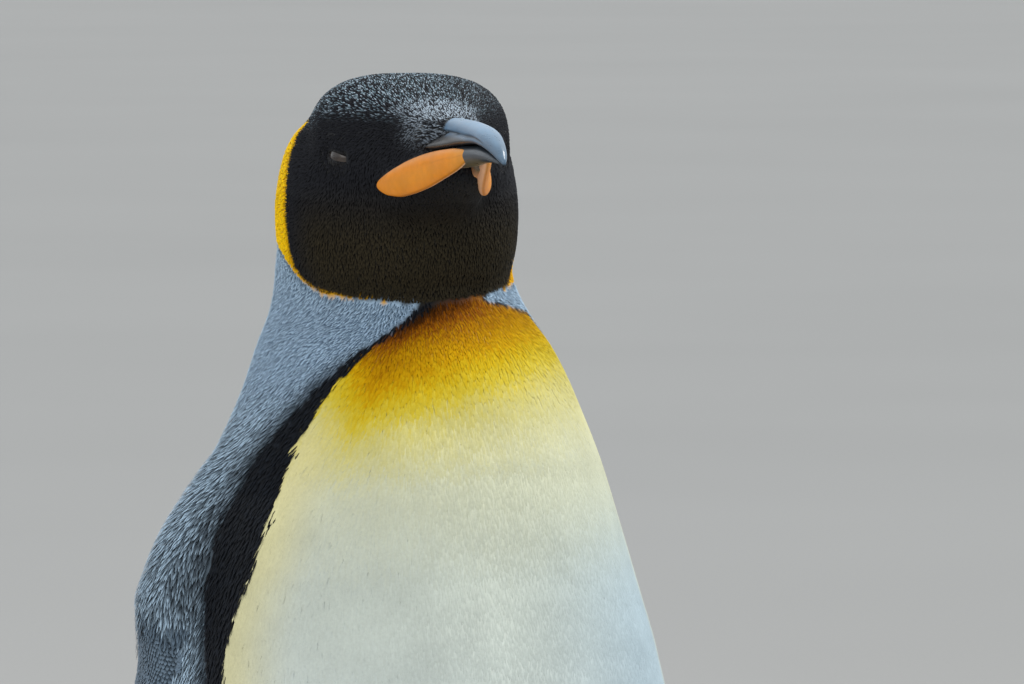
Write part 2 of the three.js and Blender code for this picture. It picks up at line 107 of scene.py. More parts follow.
def unit(v):
    return v / np.maximum(np.linalg.norm(v, axis=-1, keepdims=True), 1e-12)


def read(table, x, column=1):
    """Straight-line reading of a table of rows that start with a rising place."""
    rows = sorted(table)
    return np.interp(x, [r[0] for r in rows], [r[column] for r in rows])


def shade(table, x):
    """Colour read from rows of a rising place and a colour code."""
    rows = sorted(table)
    codes = np.array([paint(r[1]) for r in rows])
    places = [r[0] for r in rows]
    return np.stack([np.interp(x, places, codes[:, c]) for c in range(3)], -1)


def mixed(a, b, share):
    """Colours a and b mixed by the share of b, which is one number for each place."""
    share = np.asarray(share)[..., None]
    return a * (1 - share) + b * share


def turned(x, y, angle):
    """Flat places turned about the origin."""
    return x * math.cos(angle) - y * math.sin(angle), x * math.sin(angle) + y * math.cos(angle)


def curve(stations, x):
    """Columns of a station table read on a smooth curve that never overshoots."""
    stations = np.asarray(stations, float)
    at, values = stations[:, 0], stations[:, 1:]
    span = np.diff(at)[:, None]
    slope = np.diff(values, axis=0) / span
    product = slope[:-1] * slope[1:]
    total = slope[:-1] + slope[1:]
    safe = np.where(np.abs(total) > 1e-12, total, 1)
    inner = np.where(product > 0, 2 * product / safe, 0)
    tangent = np.vstack([slope[:1], inner, slope[-1:]])
    x = np.clip(np.atleast_1d(x), at[0], at[-1])
    low = np.clip(np.searchsorted(at, x, "right") - 1, 0, len(at) - 2)
    t = ((x - at[low]) / np.diff(at)[low])[:, None]
    h = span[low]
    start = (1 + 2 * t) * (1 - t) ** 2 * values[low] + t * (1 - t) ** 2 * h * tangent[low]
    return start + t * t * (3 - 2 * t) * values[low + 1] + t * t * (t - 1) * h * tangent[low + 1]


# ------------ places on the bird

HEAD_PLACE = np.array([-6.0, -16.0, 0.0]) * MM  # the head's centre in plan
HEAD_TURN = math.radians(14)  # to the bird's right
FORWARD = np.array([-math.sin(HEAD_TURN), -math.cos(HEAD_TURN), 0.0])
LEFT = np.array([math.cos(HEAD_TURN), -math.sin(HEAD_TURN), 0.0])
BODY_MIDDLE_Y = -6 * MM
EYE_AIM = unit(np.array([0.42, 0.9, 0.1]))  # forward, outward and up

TRUNK, NECK, HEAD, TAIL, FLIPPER, LEG, FOOT = range(7)
KIND = {
    "trunk": TRUNK, "neck": NECK, "head": HEAD, "tail": TAIL,
    "flipper_left": FLIPPER, "flipper_right": FLIPPER,
    "leg_left": LEG, "leg_right": LEG,
    "foot_left": FOOT, "foot_right": FOOT,
}
FLESH = list(KIND)  # the nodes that the skin replaces
COAT_DEPTH = np.array([1.3, 1.1, 0.8, 1.6, 0.6, 1.8, 0.0]) * MM  # in the order of the kinds


def in_head(forward, left, height):
    """Points from distances forward and to the bird's left of the head's centre, and heights."""
    forward, left, height = np.broadcast_arrays(forward, left, height)
    flat = np.multiply.outer(forward, FORWARD) + np.multiply.outer(left, LEFT)
    return flat + HEAD_PLACE + np.multiply.outer(height, UP)


def head_places(p):
    """Forward and left distances from the head's centre, and the angle from the bill in degrees."""
    flat = p - HEAD_PLACE
    ahead, aside = flat @ FORWARD, flat @ LEFT
    return ahead, aside, np.degrees(np.abs(np.arctan2(aside, ahead)))


def breast_angle(p):
    """Degrees round the body from the middle of the breast."""
    return np.degrees(np.abs(np.arctan2(p[:, 0], -(p[:, 1] - BODY_MIDDLE_Y))))


# ------------ markings

# Angles in degrees at heights in metres: where each marking ends, round the body from the middle of the
# breast, or round the head from the bill. The far side is the bird's left.
LOW_BREAST_EDGE = [(0.0, 92), (0.1, 90), (0.2, 86), (0.3, 82), (0.4, 78)]
LOW_GREY_EDGE = [(0.0, 95), (0.2, 93), (0.3, 89), (0.4, 86)]
BREAST_EDGE = [
    *LOW_BREAST_EDGE, (0.5, 74), (0.543, 72), (0.559, 73),
    (0.575, 72), (0.588, 69), (0.610, 67), (0.621, 64.5), (0.642, 61), (0.6606, 52.9), (0.6703, 45.7),
    (0.6778, 38.8), (0.6844, 29.8), (0.6878, 24.7), (0.6911, 19.2), (0.694, 15), (0.70, 8),
]
GREY_EDGE = [
    *LOW_GREY_EDGE, (0.5, 82), (0.5441, 78.1), (0.5586, 82.2), (0.5705, 85.3),
    (0.5795, 86.9), (0.5983, 86.7), (0.6075, 86.0), (0.6175, 83), (0.6301, 79.8), (0.6445, 71.5),
    (0.657, 62.5), (0.6679, 53.9), (0.6749, 46.1), (0.6796, 40.4), (0.6837, 34.0), (0.6887, 27.7),
    (0.6938, 20.5), (0.70, 12),
]
HOOD_EDGE = [
    (0.6935, -20), (0.6942, 4), (0.6955, 30), (0.6968, 50), (0.6984, 66), (0.7004, 79), (0.7034, 84.5),
    (0.7080, 88.6), (0.7164, 90.4), (0.7222, 91.3), (0.7296, 92.8), (0.7370, 93.6), (0.7443, 95),
    (0.7517, 97), (0.7569, 97.8), (0.7615, 102), (0.7669, 99.7), (0.770, 200),
]
GOLD_EDGE = [
    (0.6935, -30), (0.6942, -2), (0.6950, 26), (0.6960, 50), (0.6970, 66), (0.6984, 77), (0.7006, 84.8),
    (0.7040, 91.2), (0.7080, 96), (0.7125, 103), (0.718, 116), (0.727, 130), (0.74, 134),
    (0.755, 126), (0.765, 112), (0.7675, 99.7),
]
FAR_BREAST_EDGE = [
    *LOW_BREAST_EDGE, (0.5, 75), (0.6, 73), (0.642, 70),
    (0.666, 67), (0.680, 62), (0.686, 55), (0.6888, 48.3), (0.6911, 32.8), (0.6936, 21.3), (0.6957, 11.7),
    (0.70, 4),
]
FAR_GREY_EDGE = [
    *LOW_GREY_EDGE, (0.5, 83), (0.57, 86), (0.603, 86), (0.6355, 82),
    (0.657, 76), (0.672, 72), (0.683, 64), (0.6888, 51), (0.6911, 35), (0.6936, 23), (0.6957, 13), (0.70, 5),
]
BREAST = [
    # height and colour; the darkest browns at the top, in the fold under the hood, add painted shade of the
    # hood's overhang to the breast's deep orange
    (0.400, "CCD2D0"), (0.520, "C3CBC6"), (0.580, "C2C8BC"), (0.6225, "CCCDB0"), (0.6385, "D0CB96"),
    (0.6515, "D0C575"), (0.661, "D2BC3C"), (0.669, "CDAC18"), (0.6755, "C69606"), (0.6825, "B27C02"),
    (0.6893, "8C4E08"), (0.6953, "522A07"), (0.702, "301C08"),
]
# How far the colours of the breast hang down, in mm, by the share of the way round to its near edge
# and on the far side with a minus: of the yellow, then of the brown.
YELLOW_DROP = [
    (-1, -10), (-0.4, -8), (0, 0), (0.13, 3), (0.33, 8), (0.62, 14), (0.72, 19), (0.85, 12), (1, 3),
]
BROWN_DROP = [(-1, -9), (-0.4, -5), (0, 0), (0.27, 2.3), (0.59, 4.1), (0.74, 6.8), (0.81, 11), (1, 13)]
GOLD_START, FAR_GOLD_START = 20, 70  # degrees from the bill where the gold line begins
GOLD_HEM = 0.7005  # below this the gold is only on the tips of the hood's last feathers
FAR_GOLD_WIDER = 25  # how much wider the gold is on the far side, in degrees
FAR_HOOD_SHORTER = 10
HOOD_BOTTOM = 0.6932
HOOD_TOP = 0.768  # above this the whole crown is hood
BODY_TOP = 0.70
FINE_EDGE = 0.15  # how uneven the edges on the head are, to those on the body
SMALLEST_RADIUS = 0.02
SHOULDER_TO_NECK = 0.632, 0.668  # heights between which the shoulder's feathers turn into the neck's
IN_VIEW = 0.46, 0.52  # heights between which the feathers get finer towards the top
HEIGHT_JITTER = 0.006  # how far, in metres, a feather's colour is drawn from above or below its place
# Heights in metres between which each of these comes in, from none to all of it.
BACK_BELOW = 0.56, 0.30
BLACK_NAPE = 0.722, 0.742
WIDE_BLEND = 0.60, 0.63
BAND_BLEND = 0.685, 0.66
DARK_FLIPPER_ROOT = 0.600, 0.565
TONGUES = 0.60, 0.64
BROWN_DROP_ABOVE = 0.660, 0.680
# Painted shade low on the far side of the breast: bluish below the first heights, darker below the second.
SKY_SHADE_BELOW = 0.63, 0.56
FAR_SHADE_BELOW = 0.66, 0.63
CREAM_BELOW, CREAM_ABOVE = (0.655, 0.635), (0.40, 0.55)
# Heights below which the throat's tips carry a painted reflection of the gold breast.
GOLD_REFLECTION_BELOW = 0.745, 0.715
# Heights above which the crown and brow carry painted sheen.
CROWN_SHEEN_ABOVE, REAR_CROWN_SHEEN_ABOVE = (0.767, 0.777), (0.761, 0.775)
BROW_SHEEN_ABOVE, BROW_SHEEN_TOP, BRIGHTEST_BROW_SHEEN = (0.756, 0.766), (0.770, 0.775), (0.765, 0.774)
LOW_GOLD_BELOW = 0.716, 0.700
SHORT_HOOD_BELOW = 0.716, 0.704
WIDE_GOLD_BELOW, WIDE_GOLD_ABOVE = (0.722, 0.712), (0.6990, 0.7015)
SLATE_TIP, SLATE_TOP = (0.330, 0.300), (0.500, 0.530)


def pair(root_code, tip_code):
    """Root and tip colours of a kind of feather."""
    return np.array([paint(root_code), paint(tip_code)])[:, None]


NECK_GREY = pair("466078", "C4DEF4")
SHOULDER_GREY = pair("080D14", "CAE6FC")
BACK_GREY = pair("232B33", "707C86")
BAND_BLACK = pair("090C12", "121821")
HOOD_BLACK = pair("08090C", "1D1E23")
GOLD = pair("D89A00", "F4C80A")
GOLD_LOW = paint("D8A008")
CREAM = paint("DCD08C")
# Bluish white of painted sky shade, low on the far side of the breast.
SKY_SHADE_WHITE = paint("A8BCC8")
# Olive of the painted reflection of the gold breast on the throat's black tips.
THROAT_GOLD_REFLECTION = paint("322C1F")
# Painted sheen on the tips of the crown's and brow's black feathers: bluish grey, and light flecks.
CROWN_SHEEN = paint("7A8E99")
PAINTED_SHEEN = paint("BCCAD8")
TAIL_TIP = paint("3A4046")
LEG_TIP = paint("D4D6D2")
FOOT_SKIN = paint("1A1A1C")
FLIPPER_WHITE = paint("E4E6E2")
FLIPPER_SLATE = paint("66798A")


def breast_edge(p):
    """Angle where the breast ends, which lies further round on the far side of the turned neck."""
    return np.where(p[:, 0] > 0, read(FAR_BREAST_EDGE, p[:, 2]), read(BREAST_EDGE, p[:, 2]))


def grey_edge(p):
    """Angle where the black band beside the breast ends."""
    return np.where(p[:, 0] > 0, read(FAR_GREY_EDGE, p[:, 2]), read(GREY_EDGE, p[:, 2]))


def regions(p, kind, shift=0.0):
    """Where the hood, gold, breast and band are, with every edge moved by a shift in metres."""
    fine = FINE_EDGE * shift
    z = p[:, 2] + fine
    ahead, aside, turn = head_places(p)
    far = aside > 0
    across_head = np.maximum(np.hypot(ahead, aside), SMALLEST_RADIUS)
    across_body = np.maximum(np.hypot(p[:, 0], p[:, 1] - BODY_MIDDLE_Y), SMALLEST_RADIUS)
    turn = turn + np.degrees(fine / across_head) + FAR_HOOD_SHORTER * eased(z, *SHORT_HOOD_BELOW) * far
    round_body = breast_angle(p) + np.degrees(shift / across_body)
    above = (z > HOOD_BOTTOM) & (kind != FLIPPER)
    hood = above & ((turn < read(HOOD_EDGE, z)) | (z > HOOD_TOP))
    past_front = turn > np.where(far, FAR_GOLD_START, GOLD_START)
    wider = FAR_GOLD_WIDER * eased(z, *WIDE_GOLD_BELOW) * eased(z, *WIDE_GOLD_ABOVE) * far
    gold = above & ~hood & past_front & (turn < read(GOLD_EDGE, z) + wider) & (z < HOOD_TOP)
    body = ~hood & ~gold & (z < BODY_TOP)
    breast = body & (round_body < breast_edge(p))
    band = body & ~breast & (round_body < grey_edge(p))
    return hood, gold, breast, band


HOOD_MARK, GOLD_MARK, BREAST_MARK, BAND_MARK = 1, 2, 3, 4


def marking(p, kind):
    """Number of the marking at each place, and 0 on the grey."""
    hood, gold, breast, band = regions(p, kind)
    return HOOD_MARK * hood + GOLD_MARK * gold + BREAST_MARK * breast + BAND_MARK * band


def grey_colours(p, kind, chance):
    """Root and tip colours of the nape, neck, shoulders and back."""
    z = p[:, 2]
    high = eased(z, *SHOULDER_TO_NECK)
    both = mixed(SHOULDER_GREY, NECK_GREY, high)
    both = mixed(both, BACK_GREY, eased(z, *BACK_BELOW))
    both[1] *= (1 - (0.5 - 0.15 * high) * eased(chance, 0.6, 0.1))[:, None]
    past = (breast_angle(p) - grey_edge(p)) / np.maximum(grey_edge(p), 1)
    reach = 0.12 + 0.08 * eased(z, *WIDE_BLEND)
    near_band = eased(past + 0.05 * (chance - 0.5), reach, -0.01) * eased(z, *BAND_BLEND)
    both = mixed(both, BAND_BLACK, 0.75 * near_band)
    both[1] *= (1 - 0.15 * eased(z, *DARK_FLIPPER_ROOT) * (kind == FLIPPER))[:, None]
    return mixed(both, HOOD_BLACK, eased(z + HEIGHT_JITTER * (chance - 0.5), *BLACK_NAPE))


def breast_colours(p, chance):
    """White belly and the yellow of the upper breast, which hangs lower in a tongue on each side, with
    painted shade, bluer and darker, low on the far side.
    """
    z = p[:, 2]
    share = breast_angle(p) / np.maximum(breast_edge(p), 1)
    signed = np.where(p[:, 0] > 0, -share, share)
    yellow_drop, brown_drop = read(YELLOW_DROP, signed), read(BROWN_DROP, signed)
    drop = yellow_drop + (brown_drop - yellow_drop) * eased(z, *BROWN_DROP_ABOVE)
    height = z + drop * MM * eased(z, *TONGUES) + HEIGHT_JITTER * (chance - 0.5)
    front = shade(BREAST, height)
    # Painted shade: the far side below these heights is tinted bluish and darkened.
    front = mixed(front, SKY_SHADE_WHITE, 0.8 * eased(p[:, 0], -0.01, 0.08) * eased(z, *SKY_SHADE_BELOW))
    front *= (0.955 - 0.035 * eased(p[:, 0], -0.04, 0.05) * eased(z, *FAR_SHADE_BELOW))[:, None]
    cream = eased(share, 0.72, 1.0) * eased(z, *CREAM_BELOW) * eased(z, *CREAM_ABOVE)
    return mixed(front, CREAM, 0.6 * cream)


def hood_tips(p, chance):
    """Tips of the black hood: olive on the throat, a painted reflection of the gold breast, and light flecks
    of painted sheen on the crown and over the bill.
    """
    ahead, aside, turn = head_places(p)
    z = p[:, 2]
    # painted reflection of the gold breast: olive on the throat's tips
    tip = mixed(HOOD_BLACK[1], THROAT_GOLD_REFLECTION, eased(z, *GOLD_REFLECTION_BELOW) * eased(turn, 95, 60))
    # painted sheen on the crown's tips, less on the far side, with light flecks of it on the brow over the
    # bill
    crown = np.maximum(eased(z, *CROWN_SHEEN_ABOVE), eased(z, *REAR_CROWN_SHEEN_ABOVE) * eased(ahead, 0.02, 0.0))
    crown *= 1 - 0.8 * eased(aside, 0.0, 0.035)
    tip = mixed(tip, CROWN_SHEEN, crown * eased(chance, 0.50, 0.80))
    low_brow_sheen = eased(ahead, 0.060, 0.072) * eased(z, *BROW_SHEEN_ABOVE) * eased(chance, 0.32, 0.65)
    high_brow_sheen = eased(ahead, 0.048, 0.066) * eased(z, *BROW_SHEEN_TOP) * eased(chance, 0.2, 0.6)
    brow_sheen = np.maximum(low_brow_sheen, high_brow_sheen) * (0.55 + 0.65 * eased(z, *BRIGHTEST_BROW_SHEEN))
    brow_sheen *= 1 - 0.5 * eased(aside, 0.0, 0.02)
    sheen_fleck = 0.55 * crown * (chance > 0.88) * (1 - brow_sheen)
    return mixed(tip, PAINTED_SHEEN, 0.62 * brow_sheen + sheen_fleck)


def coat_colours(p, kind, shift, chance):
    """Root and tip colours of feathers that end at places p. Chance is a number from 0 to 1 for each."""
    hood, gold, breast, band = regions(p, kind, shift)
    front = breast_colours(p, chance)
    blade = mixed(FLIPPER_SLATE, FLIPPER_WHITE, flipper_white(p))
    layers = [
        # where, root colour and tip colour, each layer over the ones before it
        (breast, 0.97 * front, front),
        (band, 0.6 * BAND_BLACK[0], mixed(*BAND_BLACK, chance)),
        (gold, GOLD[0], mixed(GOLD[1], GOLD_LOW, eased(p[:, 2], *LOW_GOLD_BELOW))),
        (hood, HOOD_BLACK[0], hood_tips(p, chance)),
        (kind == TAIL, 0.7 * BACK_GREY[0], TAIL_TIP),
        (kind == LEG, 0.5 * LEG_TIP, LEG_TIP),
        (kind == FOOT, FOOT_SKIN, FOOT_SKIN),
        (is_scaled(p, kind), 0.22 * blade, blade),
    ]
    root, tip = grey_colours(p, kind, chance)
    for where, root_here, tip_here in layers:
        root = np.where(where[:, None], root_here, root)
        tip = np.where(where[:, None], tip_here, tip)
    return root, tip


FLIPPER_TABLE = [
    # height, distance out, place along the body, width and thickness in mm
    (279, 144, 41, 14, 5), (292, 143.5, 36, 35, 6.2), (318, 142, 31, 53, 7.4),
    (355, 139.5, 27, 68, 8.6), (405, 134, 24, 77, 10), (455, 125.5, 22.5, 76, 11),
    (495, 113.5, 21, 68, 12), (520, 103.8, 20.5, 62, 13), (545, 98.8, 20.5, 56, 16),
    (565, 97, 20, 54, 23), (587, 90.6, 18, 52, 30), (610, 80.3, 14.5, 46, 27), (625, 73.5, 12, 36, 21),
    (640, 67, 9, 20, 10),
]
FLIPPER_LEAN = math.radians(14)
FLIPPER_TOP = 0.562  # small feathers in rows below, long feathers above
TOP_ARCH = 0.020  # how much lower the rows end at the flipper's rear edge
TOP_RIPPLE = 0.0025


def blade_places(p):
    """Distance out of the flipper's middle plane, and the place along its width from -1 in front to 1."""
    out, middle, chord = (read(FLIPPER_TABLE, p[:, 2] / MM, column) * MM for column in (1, 2, 3))
    face, along = turned(np.abs(p[:, 0]) - out, p[:, 1] - middle, -FLIPPER_LEAN)
    return face, along / (chord / 2)


def is_scaled(p, kind):
    """True where a flipper has its small feathers in rows, up to an uneven line below the shoulder."""
    along = np.clip(blade_places(p)[1], -1, 1)
    ripple = TOP_RIPPLE * (np.sin(9 * along) + np.sin(23 * along + 1))
    return (kind == FLIPPER) & (p[:, 2] < FLIPPER_TOP - TOP_ARCH * np.maximum(along, 0) ** 2 + ripple)


def flipper_white(p):
    """Share of white: on the inner face, but not along its edges, near the shoulder or at the tip."""
    face, along = blade_places(p)
    edges = np.maximum(eased(along, -0.62, -0.78), eased(along, 0.82, 0.94))
    ends = np.maximum(eased(p[:, 2], *SLATE_TIP), eased(p[:, 2], *SLATE_TOP))
    return (face < 0) * (1 - np.maximum(edges, ends))


# ------------ skin

VOXEL = 3.0 * MM
FATTEN = 0.45 * MM
SHOULDER_HEIGHT = 0.630  # the flippers' roots run smoothly into the body round this height
SOFT_FLIPPER = 0.575  # and are smoothed with it above this one
SHOULDER_FROM, SHOULDER_OFF = (0.045, 0.060), (0.045, 0.020)  # how far out it does, and how near that height
SMOOTH_BY, SWELL_BY = 0.5, 0.52  # each round of smoothing is followed by a little swelling
SOCKET_ROUNDS, SOFT_ROUNDS, SMOOTH_ROUNDS, LAST_ROUNDS, SHOULDER_ROUNDS, DEPTH_ROUNDS = 600, 6, 14, 3, 40, 8
LEAST_SOFT = 0.25  # share of the smoothing that the tail, legs, feet and flipper blades get
SAME_POINT = 0.02 * MM
BILL_ROOT_STATIONS, BILL_ROOT_SIDES, ELLIPSE = 12, 24, 2
PLATE_ROOT_STATIONS, PLATE_ROOT_SIDES = 30, 20


def node_arrays(name):
    """Points, triangles and outward normals of a CAD node, with each shared point once."""
    work = bmesh.new()
    work.from_mesh(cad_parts[name].data)
    bmesh.ops.remove_doubles(work, verts=work.verts, dist=SAME_POINT)
    bmesh.ops.triangulate(work, faces=work.faces)
    bmesh.ops.recalc_face_normals(work, faces=work.faces)
    work.normal_update()
    points = np.array([v.co for v in work.verts])
    normals = np.array([v.normal for v in work.verts])
    faces = np.array([[v.index for v in f.verts] for f in work.faces])
    work.free()
    return points, faces, normals


def new_object(name, points, faces):
    """Object whose faces all have the same number of corners."""
    mesh = bpy.data.meshes.new(name)
    corners = faces.shape[1]
    mesh.vertices.add(len(points))
    mesh.vertices.foreach_set("co", np.ascontiguousarray(points, np.float32).ravel())
    mesh.loops.add(faces.size)
    mesh.loops.foreach_set("vertex_index", np.ascontiguousarray(faces, np.int32).ravel())
    mesh.polygons.add(len(faces))
    mesh.polygons.foreach_set("loop_start", np.arange(0, faces.size, corners, dtype=np.int32))
    mesh.polygons.foreach_set("use_smooth", np.ones(len(faces), bool))
    mesh.update(calc_edges=True)
    mesh.validate()
    piece = bpy.data.objects.new(name, mesh)
    bpy.context.scene.collection.objects.link(piece)
    return piece


def joined(parts):
    """Points and faces of several meshes as one. Each part starts with its points and its faces."""
    starts = np.cumsum([0] + [len(part[0]) for part in parts])
    faces = [part[1] + start for part, start in zip(parts, starts)]
    return np.concatenate([part[0] for part in parts]), np.concatenate(faces)


def remade(points, faces, modifier, **settings):
    """Points and quads of a mesh after one modifier."""
    rough = new_object("rough", points, faces)
    change = rough.modifiers.new("change", modifier)
    for key, value in settings.items():
        setattr(change, key, value)
    made = rough.evaluated_get(bpy.context.evaluated_depsgraph_get()).data
    places = np.empty(len(made.vertices) * 3)
    made.vertices.foreach_get("co", places)
    quads = np.empty(len(made.loops), np.int32)
    made.loops.foreach_get("vertex_index", quads)
    mesh = rough.data
    bpy.data.objects.remove(rough)
    bpy.data.meshes.remove(mesh)
    return places.reshape(-1, 3), quads.reshape(-1, 4)


def set_colours(piece, colours, name="coat_colour"):
    """Gives each point of the piece its colour."""
    layer = piece.data.color_attributes.new(name, "FLOAT_COLOR", "POINT")
    full = np.ones((len(colours), 4), np.float32)
    full[:, :3] = np.clip(colours, 0, 1)
    layer.data.foreach_set("color", full.ravel())


def halved(quads):
    """Two triangles for each quad."""
    return np.concatenate([quads[:, [0, 1, 2]], quads[:, [0, 2, 3]]])


def point_normals(points, triangles):
    """Smooth outward directions at the points of a mesh."""
    a, b, c = (points[triangles[:, i]] for i in range(3))
    across = np.cross(b - a, c - a)
    total = np.zeros_like(points)
    for i in range(3):
        for axis in range(3):
            total[:, axis] += np.bincount(triangles[:, i], across[:, axis], len(points))
    return unit(total)


class Neighbours:
    """Mean of each point's neighbours along the edges of a mesh."""

    def __init__(self, quads, count):
        pairs = np.concatenate([quads[:, [i, (i + 1) % 4]] for i in range(4)])
        pairs = np.unique(np.sort(pairs, 1), axis=0)
        self.a = np.concatenate([pairs[:, 0], pairs[:, 1]])
        self.b = np.concatenate([pairs[:, 1], pairs[:, 0]])
        self.count = count
        self.number = np.maximum(np.bincount(self.a, minlength=count), 1)

    def mean(self, values):
        if values.ndim == 1:
            return np.bincount(self.a, values[self.b], self.count) / self.number
        return np.stack([self.mean(values[:, i]) for i in range(values.shape[1])], 1)


def stretched(points, around, loose, rounds):
    """The points with the loose ones drawn tight over the hollow that they line."""
    own = np.flatnonzero(loose)
    place = np.zeros(len(points), int)
    place[own] = np.arange(len(own))
    used = loose[around.a]
    a, b = place[around.a[used]], around.b[used]
    points = points.copy()
    for _ in range(rounds):
        total = np.stack([np.bincount(a, points[b, k], len(own)) for k in range(3)], 1)
        points[own] = total / around.number[own][:, None]
    return points


def let_in():
    """Forms that fill the hollows cut in the head for the eyes and for the roots of the bill."""
    for name in ("eye_left", "eye_right"):
        own, triangles, normals = node_arrays(name)
        yield own + normals * FATTEN, triangles
    at = np.linspace(UPPER_BILL[0][0], FLESH_IN_BILL, BILL_ROOT_STATIONS)
    yield lofted(bill_rings(UPPER_BILL, at, BILL_ROOT_SIDES, ELLIPSE))
    for table, thickness in ((RAMUS, RAMUS_THICKNESS), (PLATE, PLATE_THICKNESS)):
        for side in (-1, 1):
            at, rings = side_rings(table, thickness, side, PLATE_ROOT_STATIONS, PLATE_ROOT_SIDES)
            yield lofted(rings[at < FLESH_IN_RAMUS])


def remeshed_flesh():
    """Quads over all the flesh as one closed skin, and the kind of flesh under each point."""
    parts = []
    for name, kind in KIND.items():
        own, triangles, normals = node_arrays(name)
        parts.append((own + normals * FATTEN, triangles, kind))
    parts += [(own, triangles, HEAD) for own, triangles in let_in()]
    kinds = np.concatenate([np.full(len(part[1]), part[2]) for part in parts])
    points, faces = joined(parts)
    skin, quads = remade(points, faces, "REMESH", mode="VOXEL", voxel_size=VOXEL)
    tree = BVHTree.FromPolygons(points.tolist(), faces.tolist())
    nearest = np.array([tree.find_nearest(p)[2] for p in skin.tolist()])
    return skin, quads, kinds[nearest]


def shaped_skin():
    """The skin's points, quads, kinds and depth under the coat's face, smooth and sunk by that depth."""
    points, quads, kinds = remeshed_flesh()
    around = Neighbours(quads, len(points))
    points = stretched(points, around, in_socket(points), SOCKET_ROUNDS)
    soft = np.isin(kinds, [TRUNK, NECK, HEAD]) | ((kinds == FLIPPER) & (points[:, 2] > SOFT_FLIPPER))
    soft = soft.astype(float)
    for _ in range(SOFT_ROUNDS):
        soft = around.mean(soft)
    share = LEAST_SOFT + (1 - LEAST_SOFT) * soft[:, None]
    for _ in range(SMOOTH_ROUNDS):
        points = points + SMOOTH_BY * (around.mean(points) - points) * share
        points = points - SWELL_BY * (around.mean(points) - points) * share
    for _ in range(LAST_ROUNDS):
        points = points + SMOOTH_BY * (around.mean(points) - points) * soft[:, None]
    off_shoulder = np.abs(points[:, 2] - SHOULDER_HEIGHT)
    shoulder = eased(np.abs(points[:, 0]), *SHOULDER_FROM) * eased(off_shoulder, *SHOULDER_OFF)
    for _ in range(SHOULDER_ROUNDS):
        points = points + SMOOTH_BY * (around.mean(points) - points) * shoulder[:, None]
    depth = COAT_DEPTH[kinds]
    for _ in range(DEPTH_ROUNDS):
        depth = 0.5 * depth + 0.5 * around.mean(depth)
    depth[kinds == FOOT] = 0
    normals = point_normals(points, halved(quads))
    points = points - normals * (depth + FATTEN)[:, None]
    points[:, 2] = np.maximum(points[:, 2], 0)
    return points, quads, kinds, depth


# ------------ lids

EYE_RADIUS = 8.8 * MM
EYE_SIDE = 0.96 * EYE_RADIUS  # the lids follow the eyeball out to here
LID_GAP = 0.15 * MM
EYE_OUT = 1.0 * MM  # how far the eyeballs stand out from the middle of their CAD forms
SLIT_MIDDLE = 1.6 * MM  # how far the slit's middle lies ahead of the eye's aim
SLIT_HALF_LENGTH = 6.3 * MM
SLIT_UP = 1.8 * MM
SLIT_DOWN = 2.3 * MM
SLIT_TILT = math.radians(-6)
SLIT_BLUNT = 0.9  # under 1, so that the corners of the opening are blunter than an ellipse's
UPPER_LID_SLANT = 0.25  # how much flatter the upper lid is in front
LID_REACH = 11 * MM
LID_TALL = 0.86


def eye_frame(side):
    """Centre, outward aim, and forward and upward directions over one eye. Side is 1 for the bird's left."""
    low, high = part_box("eye_left" if side > 0 else "eye_right")
    aim = unit(EYE_AIM[0] * FORWARD + side * EYE_AIM[1] * LEFT + EYE_AIM[2] * UP)
    centre = (np.array(low) + np.array(high)) / 2 + EYE_OUT * aim
    ahead = unit(FORWARD - aim * (FORWARD @ aim))
    upward = unit(UP - aim * (UP @ aim) - ahead * (UP @ ahead))
    return centre, aim, ahead, upward


def slit(angle):
    """Line of the open lids seen along the aim: forward and upward distances from the aim."""
    along = np.cos(angle)
    rise = np.where(np.sin(angle) > 0, SLIT_UP, SLIT_DOWN) * np.sin(angle)
    rise = np.where(np.sin(angle) > 0, rise * (1 - UPPER_LID_SLANT * along), rise)
    across = SLIT_HALF_LENGTH * np.sign(along) * np.abs(along) ** SLIT_BLUNT
    return turned(SLIT_MIDDLE + across, rise, SLIT_TILT)


LID_RINGS = [
    # share of the way out from the lid line, height over the eyeball in mm, share of the face's own form
    (-0.08, -0.30, 0.0), (-0.03, 0.05, 0.0), (0.00, 0.30, 0.0), (0.025, 0.44, 0.0), (0.05, 0.50, 0.0),
    (0.08, 0.46, 0.05), (0.11, 0.40, 0.12), (0.15, 0.42, 0.2), (0.20, 0.60, 0.3), (0.26, 0.62, 0.42),
    (0.32, 0.60, 0.55), (0.40, 0.60, 0.7), (0.50, 0.60, 0.85), (0.62, 0.60, 0.95), (0.75, 0.60, 1.0),
    (0.88, 0.60, 1.0), (1.0, 0.60, 1.0),
]
FEATHERED_RING = 6  # feathers stand on the lids from this ring outwards
SOCKET = 10.4 * MM
SOCKET_MOUTH = 8.2 * MM
LID_SUNK = 1.5  # depth of the slit's corners under the face in mm
LID_SUNK_BEHIND = 1.1  # and how much deeper the rear one lies
LID_PROUD = 0.12 * MM  # how far the lids lie over the skin before they dip under it
LID_DIPS = 0.9  # share of the way out where they dip
LID_DIP = -0.5 * MM
RAY_START = 0.03
LID_POINTS = 96


def eye_places(p):
    """For each eye, how far places lie forward, up and out from its middle."""
    for side in (-1, 1):
        centre, aim, ahead, upward = eye_frame(side)
        away = p - centre
        yield away @ ahead, away @ upward, away @ aim


def in_socket(p):
    """True for the places that line the hollow round one of the eyeballs."""
    found = np.zeros(len(p), bool)
    for x, y, out in eye_places(p):
        found |= np.sqrt(x**2 + y**2 + out**2) < SOCKET
        found |= (np.hypot(x, y) < SOCKET_MOUTH) & (out > 0) & (out < 2 * SOCKET)
    return found


